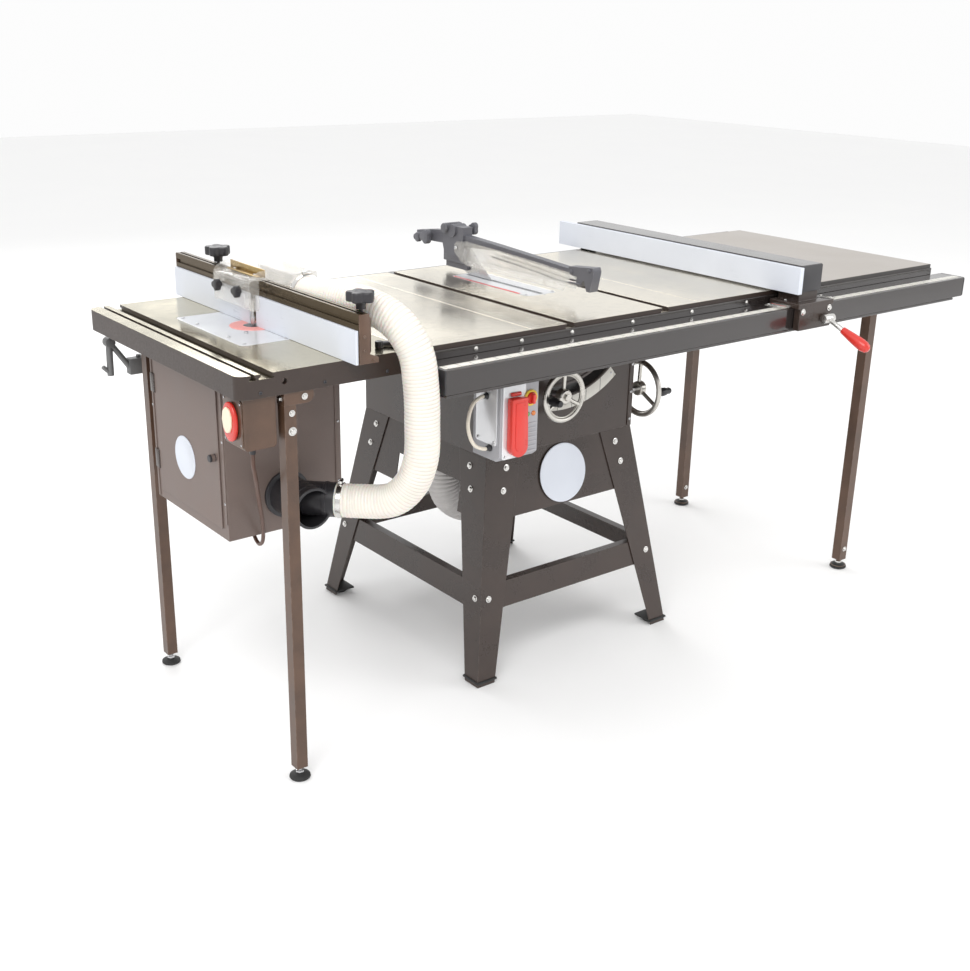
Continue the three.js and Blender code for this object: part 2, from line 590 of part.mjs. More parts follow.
// A light cable loops out of the switch box's left wall and back into it.
const loopX = SWITCH.x0 - GAP;
piece('control_cable', hose([
  [loopX, 12, 744], [190, 12, 744], [182, 12, 744], [158, 10, 732], [143, 6, 690], [156, 2, 647],
  [182, 0, 633], [190, 0, 633], [loopX, 0, 633]], 4, 8, 28), white());

// ---------------------------------------------------------------- router table
const INSERT_PLATE = { x0: -265, x1: -55, y0: 200, y1: 500, depth: 9.5, ledge: 14, corner: 12 };

function routerTable() {
  const outline = roundedRectangle(ROUTER_LEFT, -GAP / 2, 0, DEPTH, [20, 0, 0, 20]);
  const plate = INSERT_PLATE;
  const opening = box(plate.x0 + plate.ledge, plate.x1 - plate.ledge,
    plate.y0 + plate.ledge, plate.y1 - plate.ledge, 0, TOP + 1);
  const seat = roundedRectangle(plate.x0 - GAP, plate.x1 + GAP, plate.y0 - GAP, plate.y1 + GAP, plate.corner);
  const bossBottom = TOP - 25;
  return cut(profile('Z', TOP - SKIRT, TOP, outline, 5),
    tSlot(-349, 8, 15, 10, 4), tSlot(-321, 25, 31, 10, 3.5),
    box(ROUTER_LEFT + RIM, -RIM, RIM, DEPTH - RIM, 0, bossBottom),
    box(-294, -RIM, RIM, DEPTH - RIM, 0, TOP - PLATE),
    opening, profile('Z', TOP - plate.depth - GAP, TOP + 1, seat, 4),
    bar('Y', -1, RIM + 1, [-285, TOP - 20], 6, 12));
}

function insertPlate() {
  const plate = INSERT_PLATE;
  const outline = roundedRectangle(plate.x0, plate.x1, plate.y0, plate.y1, plate.corner);
  return cut(profile('Z', TOP - plate.depth, TOP, outline, 4),
    bar('Z', 0, TOP + 1, [ROUTER_X, ROUTER_Y], 20, 24));
}

piece('router_table', routerTable(), black());
piece('router_insert_plate', insertPlate(), greyPaint());

// ---------------------------------------------------------------- router and its enclosure
const ROUTER_MOTOR = { bottom: 640, top: 808 };
const BIT_TOP = TOP + 57;

function routerMotor() {
  return turned('Z', ROUTER_MOTOR.bottom, [ROUTER_X, ROUTER_Y], [
    [0, 0], [38, 0], [44, 8], [44, 130], [36, 150], [22, 158], [22, 168], [0, 168]], 20);
}

function routerBit() {
  const centre = [ROUTER_X, ROUTER_Y];
  const collet = bar('Z', ROUTER_MOTOR.top + GAP, TOP - 37, centre, 13, 6);
  return join(collet, bar('Z', TOP - 38, BIT_TOP, centre, 3.2, 8), bar('Z', TOP - 15, TOP + 19, centre, 5, 8));
}

piece('router_motor', routerMotor(), greyPaint());
piece('router_bit', routerBit(), steel());

const DUCT = { x: -188, z: 557, radius: 42, mouthY: 74 };
const DOOR = { y0: 207, y1: 493, z0: 502, z1: 798 };

function dustBox() {
  const { x0, x1, y0, y1, z0, z1 } = DUST_BOX;
  return cut(box(x0, x1, y0, y1, z0, z1),
    box(x0 + SHEET, x1 - SHEET, y0 + SHEET, y1 - SHEET, z0 + SHEET, z1 + 1),
    box(x0 - 1, x0 + SHEET + 1, DOOR.y0 + 18, DOOR.y1 - 18, DOOR.z0 + 18, DOOR.z1 - 18),
    bar('Y', y0 - 1, y0 + SHEET + 1, [DUCT.x, DUCT.z], DUCT.radius - 4, 20));
}

function dustBoxDoor() {
  const outside = DUST_BOX.x0 - GAP;
  const knob = bar('X', outside - 14, outside - 2, [DOOR.y0 + 16, 650], 8, 12);
  return join(box(outside - 3, outside, DOOR.y0, DOOR.y1, DOOR.z0, DOOR.z1), knob);
}

/** Wye: a barrel from the enclosure to an open mouth, with a branch for the fence hose. */
const WYE = { from: [-180, 138, 560], to: [-128, 86, 560] };
function ductWye() {
  const { x, z, radius, mouthY } = DUCT;
  const back = DUST_BOX.y0 - GAP;
  const outer = join(bar('Y', mouthY, back, [x, z], radius, 20), bar('Y', back - 5, back, [x, z], radius + 8, 20),
    strut(WYE.from, WYE.to, FENCE_HOSE_R + 1, 16));
  return cut(outer, bar('Y', mouthY - 1, back + 1, [x, z], radius - 4, 20),
    strut([x, 146, z], [WYE.to[0] + 10, WYE.to[1] - 10, WYE.to[2]], FENCE_HOSE_R - 4, 16));
}

piece('dust_box', dustBox(), greyPaint());
piece('dust_box_door', dustBoxDoor(), greyPaint());
piece('duct_wye', ductWye(), blackPlastic());

// ---------------------------------------------------------------- router switch
const ROUTER_SWITCH = { x0: -366, x1: -299, y0: 10, y1: 90, z0: 727, z1: 827.6 };
const GLAND = { x: -330, y: 50, length: 20 };
const PADDLE_FRONT = -382; // the machine's leftmost point

function routerSwitchBox() {
  const { x0, x1, y0, y1, z0, z1 } = ROUTER_SWITCH;
  const gland = turned('Z', z0 - GLAND.length, [GLAND.x, GLAND.y], [[0, 0], [5, 0], [9, 21], [0, 21]], 12);
  return join(profile('Y', y0, y1, roundedRectangle(x0, x1, z0, z1, [8, 8, 0, 0]), 3), gland);
}

function routerSwitchPaddle() {
  const shape = new THREE.Shape();
  shape.absellipse(50, 778, 26, 38, 0, 2 * Math.PI);
  const x1 = ROUTER_SWITCH.x0 - GAP;
  const dome = new THREE.Shape();
  dome.absellipse(50, 778, 20, 31, 0, 2 * Math.PI);
  return join(profile('X', x1 - 11, x1, shape, 10), profile('X', PADDLE_FRONT, x1 - 10, dome, 10));
}

piece('router_switch_box', routerSwitchBox(), black());
piece('router_switch_paddle', routerSwitchPaddle(), red());

// ---------------------------------------------------------------- router fence
const HEAD = { x0: -160 + 6 + GAP, x1: -133, foot: -117 };
const SPLIT = 14; // opening between the two faces
const CHIP_GATE = 30; // half width of the chip opening behind the faces

/** Extruded rail: a web with a flared foot and a T-slotted head. */
function fenceRail() {
  const { x0, x1, foot } = HEAD;
  const low = TOP + GAP;
  const headBottom = FENCE.faceTop;
  const outline = [
    [x0, low], [foot, low], [foot, low + 5], [x1, low + 9], [x1, headBottom + 8], [x1 - 5, headBottom + 8],
    [x1 - 5, headBottom + 5], [x1 - 8, headBottom + 5], [x1 - 8, headBottom + 20], [x1 - 5, headBottom + 20],
    [x1 - 5, headBottom + 17], [x1, headBottom + 17], [x1, FENCE.railTop], [x0 + 12, FENCE.railTop],
    [x0 + 12, FENCE.railTop - 7], [x0 + 6, FENCE.railTop - 7], [x0 + 6, FENCE.railTop],
    [x0, FENCE.railTop], [x0, headBottom + 18], [x0 + 5, headBottom + 18], [x0 + 5, headBottom + 10],
    [x0, headBottom + 10]];
  return cut(profile('Y', FENCE.y0, FENCE.y1, outline),
    box(x0 - 1, foot + 1, ROUTER_Y - CHIP_GATE, ROUTER_Y + CHIP_GATE, low - 1, TOP + 50));
}

/** One half of the white face, with a lip that overlaps the rail's head slot. */
function fenceFace(y0, y1) {
  const back = HEAD.x0 - GAP;
  return box(FENCE_FACE_X, back, y0, y1, TOP + GAP, FENCE.faceTop);
}

/** Hollow shroud behind the chip opening with a round spigot for the hose. */
const PORT = { x: -92, z: 952, y: 252 };
function fenceDustPort() {
  const x0 = HEAD.foot + GAP;
  const [low, high] = [TOP + GAP, TOP + 92];
  const half = CHIP_GATE + 22;
  const body = profile('Y', PORT.y + 8, ROUTER_Y + half, [
    [x0, low], [-40, low], [-58, 990], [-116, 990], [x0, high]]);
  const spigot = bar('Y', PORT.y, PORT.y + 12, [PORT.x, PORT.z], FENCE_HOSE_R, 16);
  const inside = profile('Y', PORT.y + 12, ROUTER_Y + half - 4, [
    [x0 - 1, low + 5], [-46, low + 5], [-62, 986], [-112, 986], [x0 + 4, high - 6], [x0 - 1, high - 14]]);
  return cut(join(body, spigot), inside,
    bar('Y', PORT.y - 1, PORT.y + 14, [PORT.x, PORT.z], FENCE_HOSE_R - 5, 16));
}

/** Lobed clamp knob on its stem, over the rail's end. */
function clampKnob(x, y, z) {
  const lobes = 5;
  const shape = new THREE.Shape();
  const points = lobes * 6;
  for (let i = 0; i < points; i += 1) {
    const turn = (2 * Math.PI * i) / points;
    const reach = 24 + 4 * Math.cos(lobes * turn);
    const at = [x + reach * Math.cos(turn), y + reach * Math.sin(turn)];
    if (i === 0) shape.moveTo(...at); else shape.lineTo(...at);
  }
  return join(profile('Z', z - 20, z, shape), bar('Z', z - 34, z - 19, [x, y], 10, 16),
    bar('Z', TOP + 11, z - 33, [x, y], 3.5, 10));
}

piece('router_fence_rail', fenceRail(), black());
piece('router_fence_face_front', fenceFace(FENCE.y0, ROUTER_Y - SPLIT), white());
piece('router_fence_face_rear', fenceFace(ROUTER_Y + SPLIT, FENCE.y1), white());
piece('router_fence_dust_port', fenceDustPort(), clear());
const KNOB_X = -126;
piece('fence_knob_front', clampKnob(KNOB_X, -12, 1004), blackPlastic());
piece('fence_knob_rear', clampKnob(KNOB_X, 563, 1004), blackPlastic());

/** Clear bit guard: a bridge over the rail, a shield in front of the faces and a back plate. */
const BIT_GUARD = { y0: 316, y1: 474, front: FENCE_FACE_X - 24, back: -140, sheet: 4, hang: 57, plate: 18 };
function bitGuard() {
  const { y0, y1, front, back, sheet, hang, plate } = BIT_GUARD;
  const top = FENCE.railTop + GAP;
  const bridge = box(front, back, y0, y1, top, top + sheet);
  const shield = box(front, front + sheet, y0, y1, top - hang, top + sheet);
  const upright = box(back - sheet, back, y0, y1, top, top + plate);
  return join(bridge, shield, upright);
}
piece('bit_guard', bitGuard(), clear());

// ---------------------------------------------------------------- lift crank on the rear of the table
function liftCrank() {
  const y = DEPTH + 16;
  const bracket = box(-262, -240, DEPTH + GAP, DEPTH + 6, 708, 850);
  const holder = box(-294, -243, DEPTH + 5, DEPTH + 28, 708, 745);
  const elbow = [-334, y, 788];
  return join(bracket, holder, bar('Y', y - 11, y + 11, [elbow[0], elbow[2]], 11, 12),
    strut(elbow, [-286, y, 716], 6.5, 8), strut(elbow, [-336, y, 708], 7.5, 8),
    strut([-336, y, 718], [-353, y, 734], 5, 8));
}
piece('lift_crank', liftCrank(), steel());

// ---------------------------------------------------------------- rip fence
const RIP = { x: 1055, faceT: 14, beam: 76, y0: -90, y1: 775, z0: TOP + 4, z1: 941 };
const HEAD_PLATE = { x0: 1046, x1: 1177, y0: -104, y1: -86 };

function ripBeam() {
  const x0 = RIP.x + RIP.faceT + GAP;
  const x1 = x0 + RIP.beam;
  const tube = cut(box(x0, x1, RIP.y0 + 8, RIP.y1 - 60, RIP.z0 + 3, RIP.z1 + 3),
    box(x0 + 3, x1 - 3, RIP.y0 + 7, RIP.y1 - 59, RIP.z0 + 6, RIP.z1));
  const glide = box(x0 + 20, x1 - 20, 697, 715, ANGLE.top + GAP, RIP.z0 + 5);
  return join(tube, glide);
}

/** T-square head: a deck over the rail, a front jaw and a rear pad. */
function ripHead() {
  const { x0, x1, y0, y1 } = HEAD_PLATE;
  const deck = RAIL.z1 + GAP;
  const plate = box(x0, x1, y0, -14, deck, deck + 12);
  const jaw = box(x0 + 6, x1 - 6, y0, y1, 792, deck + 1);
  const neck = box(RIP.x + RIP.faceT + 4, RIP.x + RIP.faceT + RIP.beam - 4, -80, -16, deck + 11, RIP.z0 + 2.7);
  return join(plate, jaw, neck);
}

function ripLever() {
  const hub = bar('X', 1128, 1162, [-116, 815], 11, 16);
  const stem = strut([1145, -120, 813], [1151, -166, 790], 6, 10);
  const grip = new THREE.Matrix4().lookAt(
    new THREE.Vector3(1150, -158, 794), new THREE.Vector3(1161, -232, 757), new THREE.Vector3(0, 0, 1));
  const along = new THREE.Matrix4().makeTranslation(1150, -158, 794).multiply(grip)
    .multiply(new THREE.Matrix4().makeRotationX(-Math.PI / 2));
  const handle = new THREE.LatheGeometry([
    [0, 0], [8, 0], [10, 10], [13, 40], [14, 62], [11, 78], [0, 83]].map(([r, h]) => new THREE.Vector2(r, h)), 12);
  return join(hub, stem, solid(handle, along));
}

piece('rip_fence_head', ripHead(), black());
piece('rip_fence_beam', ripBeam(), black());
piece('rip_fence_face', box(RIP.x, RIP.x + RIP.faceT, RIP.y0, RIP.y1, RIP.z0, RIP.z1), white());
piece('rip_fence_lever', ripLever(), red());

// ---------------------------------------------------------------- hoses and the router's lead
// Fence hose: from the shroud forwards over the table, down past its front edge, back to the wye.
piece('router_dust_hose', hose([
  [PORT.x, PORT.y - GAP, PORT.z], [PORT.x, 236, PORT.z], [PORT.x, 220, PORT.z], [-88, 120, 960],
  [-74, 40, 960], [-52, -22, 936], [-34, -56, 886], [-26, -64, 820], [-24, -66, 740], [-24, -62, 670],
  [-32, -40, 612], [-54, -8, 574], [-98, 56, 560], [-116, 74, 560],
  [WYE.to[0] + GAP, WYE.to[1] - GAP, WYE.to[2]]], FENCE_HOSE_R, 12, 36), hoseSkin());

// Blade dust hose: down from one port in the cabinet's floor and up into the other.
const [portLeft, portRight] = FLOOR_PORTS.x;
const hang = (x, z) => [x, FLOOR_PORTS.y, z];
piece('saw_dust_hose', hose([
  hang(portLeft, FLOOR_PORTS.z - GAP), hang(portLeft, 486), hang(portLeft - 1, 476), hang(371, 436),
  hang(373, 398), hang(392, 358), hang(434, 330), hang(496, 322), hang(562, 330), hang(612, 358),
  hang(638, 398), hang(643, 436), hang(portRight + 1, 476), hang(portRight, 486),
  hang(portRight, FLOOR_PORTS.z - GAP)], SAW_HOSE_R, 12, 36), greyPaint());

// Router lead: out of the gland, back and down to the enclosure, and up into its floor.
piece('router_switch_lead', hose([
  [GLAND.x, GLAND.y, ROUTER_SWITCH.z0 - GLAND.length - GAP], [GLAND.x, GLAND.y, 698],
  [GLAND.x, GLAND.y + 1, 690], [-318, 66, 652], [-293, 106, 595], [-266, 146, 528], [-253, 169, 488],
  [-247, 186, 462], [-244, 206, 450], [-242, 226, 456], [-241, 236, 468], [-241, 237, 474],
  [-241, 237, DUST_BOX.z0 - GAP]], 4, 8, 40), blackPlastic());

// ---------------------------------------------------------------- stand the model on its centre
model.position.set(-CENTRE.x, -CENTRE.y, 0);
model.updateMatrixWorld(true);

export default model;
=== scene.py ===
"""Looks for a table saw with an in-line router table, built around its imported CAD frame."""
import math

import bmesh
import bpy
from mathutils import Matrix, Vector


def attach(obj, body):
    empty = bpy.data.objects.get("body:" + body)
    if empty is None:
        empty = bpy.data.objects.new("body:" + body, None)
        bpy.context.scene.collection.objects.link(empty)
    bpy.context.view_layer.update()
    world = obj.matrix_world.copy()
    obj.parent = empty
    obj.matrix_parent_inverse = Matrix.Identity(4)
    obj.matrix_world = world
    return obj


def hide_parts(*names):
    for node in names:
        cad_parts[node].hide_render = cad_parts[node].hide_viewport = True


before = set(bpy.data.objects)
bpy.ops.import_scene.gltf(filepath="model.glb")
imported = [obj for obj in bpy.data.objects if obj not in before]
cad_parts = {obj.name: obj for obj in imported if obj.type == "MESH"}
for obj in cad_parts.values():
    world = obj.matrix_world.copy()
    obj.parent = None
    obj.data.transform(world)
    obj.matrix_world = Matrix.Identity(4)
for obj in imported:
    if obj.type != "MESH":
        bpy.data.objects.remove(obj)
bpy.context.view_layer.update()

# ------------------------------------------------------------------ working frame
# Pieces are drawn in the CAD source's working millimetres: X = 0 at the seam between router table
# and saw, Y = 0 at the tops' front edge, Z = 0 on the floor. TO_ROW takes them to the row frame.
MM = 0.001
CENTRE = (695, 365)
TO_ROW = Matrix.Scale(MM, 4) @ Matrix.Translation((-CENTRE[0], -CENTRE[1], 0))
TOP = 873  # the tables' working face
SHARP = math.radians(33)
X, Y, Z = (1, 0, 0), (0, 1, 0), (0, 0, 1)
LEFT, FRONT, DOWN = (-1, 0, 0), (0, -1, 0), (0, 0, -1)


def at(x, y, z):
    """A working point, in the row frame, in metres."""
    return TO_ROW @ Vector((x, y, z))


# ------------------------------------------------------------------ camera
CAMERA_SPOT = (-1375.8, -1969.0, 1477.5)
CAMERA_TURN = (-38.43, 20.25, 1.213)  # azimuth, elevation and roll, in degrees
CAMERA_LENS = 46.77


def camera():
    azimuth, elevation, roll = (math.radians(a) for a in CAMERA_TURN)
    back = Vector((math.sin(azimuth) * math.cos(elevation),
                   -math.cos(azimuth) * math.cos(elevation), math.sin(elevation)))
    level = Vector((0, 0, 1)).cross(back).normalized()
    upright = back.cross(level)
    right = math.cos(roll) * level + math.sin(roll) * upright
    up = -math.sin(roll) * level + math.cos(roll) * upright
    data = bpy.data.cameras.new("camera")
    data.lens = CAMERA_LENS
    data.sensor_width = 36
    data.clip_end = 100
    made = bpy.data.objects.new("camera", data)
    bpy.context.scene.collection.objects.link(made)
    made.matrix_world = Matrix.Translation(at(*CAMERA_SPOT)) @ Matrix(
        (right, up, back)).transposed().to_4x4()
    bpy.context.scene.camera = made


camera()


# ------------------------------------------------------------------ mesh making
def spline(points, step):
    """Even points along a centripetal curve through the given ones."""
    given = [Vector(p) for p in points]
    ends = [2 * given[0] - given[1], *given, 2 * given[-1] - given[-2]]
    fine = []
    for p0, p1, p2, p3 in zip(ends, ends[1:], ends[2:], ends[3:]):
        d0, d1, d2 = (math.sqrt((b - a).length) for a, b in ((p0, p1), (p1, p2), (p2, p3)))
        t1 = ((p1 - p0) / d0 - (p2 - p0) / (d0 + d1) + (p2 - p1) / d1) * d1
        t2 = ((p2 - p1) / d1 - (p3 - p1) / (d1 + d2) + (p3 - p2) / d2) * d1
        for i in range(24):
            t = i / 24
            fine.append(p1 + t1 * t + (3 * (p2 - p1) - 2 * t1 - t2) * t * t
                        + (2 * (p1 - p2) + t1 + t2) * t ** 3)
    fine.append(given[-1])
    return resample(fine, step)


def length_of(points):
    """The length of a path, in the path's own unit."""
    return sum((b - a).length for a, b in zip(points, points[1:]))


def resample(points, step):
    """The same path in equal steps, about `step` long."""
    count = max(2, round(length_of(points) / step))
    gap = length_of(points) / count
    out, walked, target = [points[0].copy()], 0.0, gap
    for a, b in zip(points, points[1:]):
        run = (b - a).length
        while run and walked + run >= target - 1e-9 and len(out) < count:
            out.append(a.lerp(b, (target - walked) / run))
            target += gap
        walked += run
    out.append(points[-1].copy())
    return out


def frames(points):
    """For each point along a path: the point and two unit vectors across the path, without twist."""
    out = []
    across = None
    for i, p in enumerate(points):
        along = (points[min(i + 1, len(points) - 1)] - points[max(i - 1, 0)]).normalized()
        if across is None:
            across = along.orthogonal().normalized()
        across = (across - along * across.dot(along)).normalized()
        out.append((p, across, along.cross(across)))
    return out


WASHER = 1.4  # thickness


class Build:
    """Gathers closed shapes, in working millimetres, into one piece."""

    def __init__(self):
        self.mesh = bmesh.new()

    def shape(self, points, faces, bevel=0.0, segments=2, turn=None):
        """Adds one closed shape, with its sharp edges bevelled and then placed by `turn`."""
        part = bmesh.new()
        made = [part.verts.new(p) for p in points]
        for face in faces:
            part.faces.new([made[i] for i in face])
        bmesh.ops.recalc_face_normals(part, faces=part.faces)
        if bevel:
            edges = [e for e in part.edges if e.calc_face_angle(0.0) > SHARP]
            bmesh.ops.bevel(part, geom=edges, offset=bevel, segments=segments,
                            profile=0.5, affect="EDGES", clamp_overlap=True)
        if turn:
            part.transform(turn)
        held = bpy.data.meshes.new("part")
        part.to_mesh(held)
        part.free()
        self.mesh.from_mesh(held)
        bpy.data.meshes.remove(held)
        return self

    def box(self, x0, x1, y0, y1, z0, z1, bevel=0.6, segments=2, turn=None):
        points = [(x, y, z) for z in (z0, z1) for y in (y0, y1) for x in (x0, x1)]
        faces = [(0, 2, 3, 1), (4, 5, 7, 6), (0, 1, 5, 4), (1, 3, 7, 5), (3, 2, 6, 7), (2, 0, 4, 6)]
        return self.shape(points, faces, bevel, segments, turn)

    def prism(self, axis, a, b, outline, bevel=0.6, segments=2):
        """An outline across an axis, from a to b: X uses (y, z), Y uses (x, z), Z uses (x, y)."""
        place = {"X": lambda h, u, v: (h, u, v), "Y": lambda h, u, v: (u, h, v),
                 "Z": lambda h, u, v: (u, v, h)}[axis]
        n = len(outline)
        points = [place(h, u, v) for h in (a, b) for u, v in outline]
        faces = [tuple(range(n)), tuple(range(n, 2 * n))]
        faces += [(i, (i + 1) % n, n + (i + 1) % n, n + i) for i in range(n)]
        return self.shape(points, faces, bevel, segments)

    def lathe(self, origin, along, profile, sides=32, bevel=0.0, ring=False):
        """Turns (radius, height) points about an axis. A ring's profile closes on itself."""
        points, rows = [], []
        for r, h in profile:
            if r < 1e-6:
                rows.append([len(points)])
                points.append((0, 0, h))
            else:
                rows.append([len(points) + i for i in range(sides)])
                points += [(r * math.cos(2 * math.pi * i / sides),
                            r * math.sin(2 * math.pi * i / sides), h) for i in range(sides)]
        pairs = list(zip(rows, rows[1:])) + ([(rows[-1], rows[0])] if ring else [])
        faces = []
        for low, high in pairs:
            for i in range(sides):
                j = (i + 1) % sides
                corner = [low[i % len(low)], low[j % len(low)], high[j % len(high)], high[i % len(high)]]
                faces.append(tuple(dict.fromkeys(corner)))
        if not ring:
            faces += [tuple(row) for row in (rows[0], rows[-1]) if len(row) > 1]
        spin = Vector((0, 0, 1)).rotation_difference(Vector(along)).to_matrix().to_4x4()
        return self.shape(points, faces, bevel, 2, Matrix.Translation(origin) @ spin)

    def rod(self, a, b, radius, sides=24, bevel=0.4):
        """A round bar from a to b."""
        a, b = Vector(a), Vector(b)
        return self.lathe(a, b - a, [(radius, 0), (radius, (b - a).length)], sides, bevel)

    def ring(self, centre, along, radius, tube, around=48, sides=12):
        """A torus about an axis."""
        profile = [(radius + tube * math.cos(2 * math.pi * i / sides),
                    tube * math.sin(2 * math.pi * i / sides)) for i in range(sides)]
        return self.lathe(centre, along, profile, around, ring=True)

    def sweep(self, points, radius, sides=16):
        """A tube along a path. radius is a number, or a function of distance and turn."""
        size = radius if callable(radius) else lambda s, turn: radius
        verts, walked, before = [], 0.0, None
        for p, u, v in frames(points):
            walked += (p - before).length if before else 0.0
            before = p
            for i in range(sides):
                turn = 2 * math.pi * i / sides
                verts.append(p + (u * math.cos(turn) + v * math.sin(turn)) * size(walked, turn))
        rows, n = len(points), sides
        faces = [(r * n + i, r * n + (i + 1) % n, (r + 1) * n + (i + 1) % n, (r + 1) * n + i)
                 for r in range(rows - 1) for i in range(n)]
        faces += [tuple(range(n)), tuple(range((rows - 1) * n, rows * n))]
        return self.shape(verts, faces)

    def bolt(self, seat, along, size):
        """Hex bolt head on its washer, standing on a face whose outward direction is `along`."""
        seat, along = Vector(seat), Vector(along).normalized()
        self.lathe(seat, along, [(size * 1.45, 0), (size * 1.45, WASHER)], 28, 0.3)
        return self.lathe(seat + along * WASHER, along, [
            (size, 0), (size, size * 0.55), (size * 0.86, size * 0.66)], 6, 0.25)

    def screw(self, seat, along, size):
        """Round-headed screw with a socket, standing on a face."""
        seat, along = Vector(seat), Vector(along).normalized()
        return self.lathe(seat, along, [(size, 0), (size, size * 0.3), (size * 0.78, size * 0.55),
                                        (size * 0.42, size * 0.6), (size * 0.36, size * 0.22),
                                        (0, size * 0.2)], 20)

    def done(self, name, body, look, *replaces, slot=None):
        """Closes the piece: it rides on a body, wears a look and stands in for CAD nodes."""
        self.mesh.transform(TO_ROW)
        data = bpy.data.meshes.new(name)
        self.mesh.to_mesh(data)
        self.mesh.free()
        data.materials.append(LOOKS[look])
        data.polygons.foreach_set("use_smooth", [True] * len(data.polygons))
        data.set_sharp_from_angle(angle=SHARP)
        made = bpy.data.objects.new(name, data)
        bpy.context.scene.collection.objects.link(made)
        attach(made, body)
        if replaces:
            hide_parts(*replaces)
        return made


def arc(cx, cy, r, start, stop, steps=8, squash=1.0):
    """Points on a circle between two angles in degrees."""
    turns = [math.radians(start + (stop - start) * i / steps) for i in range(steps + 1)]
    return [(cx + r * math.cos(t), cy + squash * r * math.sin(t)) for t in turns]


def rounded(x0, x1, y0, y1, r, steps=5):
    """A rectangle's outline with round corners."""
    return (arc(x1 - r, y1 - r, r, 0, 90, steps) + arc(x0 + r, y1 - r, r, 90, 180, steps)
            + arc(x0 + r, y0 + r, r, 180, 270, steps) + arc(x1 - r, y0 + r, r, 270, 360, steps))


def lobed(cx, cy, radius, depth, lobes, steps=50):
    """The outline of a hand knob with rounded lobes."""
    out = []
    for i in range(steps):
        t = 2 * math.pi * i / steps
        r = radius - depth * (0.5 - 0.5 * math.cos(lobes * t)) ** 1.5
        out.append((cx + r * math.cos(t), cy + r * math.sin(t)))
    return out


# ------------------------------------------------------------------ materials
LOOKS = {}
# the slot of the parts library that each look stands in
SLOTS = {look: slot for slot, looks in {
    "steel": "steel bright gold casting plate",
    "aluminium": "cast_silver",
    "red_plastic": "red pink green amber",
    "white_plastic": "white cream tape dial pale_lead",
    "black_plastic": "black_plastic rubber guard_plastic lead",
    "grey_plastic": "grey_plastic yellow",
    "black_paint": "paint leg_paint",
    "grey_paint": "sheet_paint",
    "clear_plastic": "clear",
    "laminate": "edge_band",
    "hose_plastic": "hose hose_wire",
    "grey_hose": "grey_hose",
}.items() for look in looks.split()}


class Graph:
    """The node tree of one look, built around its Principled shader."""

    def __init__(self, name):
        self.material = bpy.data.materials.new(name)
        LOOKS[name] = self.material
        self.material.use_nodes = True
        self.tree = self.material.node_tree
        self.shader = self.tree.nodes["Principled BSDF"]
        coordinates = self.tree.nodes.new("ShaderNodeTexCoord")
        self.place = coordinates.outputs["Object"]
        self.facing = coordinates.outputs["Normal"]

    def put(self, socket, value):
        if isinstance(value, bpy.types.NodeSocket):
            self.tree.links.new(value, socket)
        else:
            socket.default_value = value

    def make(self, kind, inputs, output=0, **settings):
        node = self.tree.nodes.new(kind)
        for key, value in settings.items():
            setattr(node, key, value)
        for key, value in inputs.items():
            self.put(node.inputs[key], value)
        return node.outputs[output]

    def noise(self, scale, detail=3.0, stretch=(1, 1, 1)):
        place = self.make("ShaderNodeMapping", {"Vector": self.place, "Scale": stretch})
        return self.make("ShaderNodeTexNoise", {"Vector": place, "Scale": scale, "Detail": detail})

    def remap(self, value, low, high, to_low=0.0, to_high=1.0):
        return self.make("ShaderNodeMapRange", {"Value": value, "From Min": low, "From Max": high,
                                                "To Min": to_low, "To Max": to_high})

    def maths(self, operation, a, b=0.0):
        return self.make("ShaderNodeMath", {0: a, 1: b}, operation=operation)

    def mix(self, factor, a, b):
        return self.make("ShaderNodeMix", {0: factor, 6: (*a, 1) if isinstance(a, tuple) else a,
                                           7: (*b, 1) if isinstance(b, tuple) else b},
                         output=2, data_type="RGBA")

    def split(self, vector):
        node = self.tree.nodes.new("ShaderNodeSeparateXYZ")
        self.put(node.inputs[0], vector)
        return node.outputs

    def edges(self, distance):
        """1 within about `distance` metres of an outside edge, 0 elsewhere."""
        inside = self.make("ShaderNodeAmbientOcclusion", {"Distance": distance}, output=1,
                           inside=True, only_local=True, samples=4)
        return self.remap(inside, 0.86, 0.5)

    def bump(self, height, depth):
        """Relief `depth` mm deep."""
        normal = self.make("ShaderNodeBump", {"Strength": 1.0, "Distance": depth * MM,
                                              "Height": height})
        self.put(self.shader.inputs["Normal"], normal)

    def fixed(self, **values):
        """Values that are the same all over go straight on the shader's sockets."""
        for key, value in values.items():
            self.shader.inputs[key.replace("_", " ")].default_value = value


def shades(colour, amount):
    """The colour made darker and lighter by a share of itself."""
    return tuple(c * (1 - amount) for c in colour), tuple(min(1, c * (1 + amount)) for c in colour)


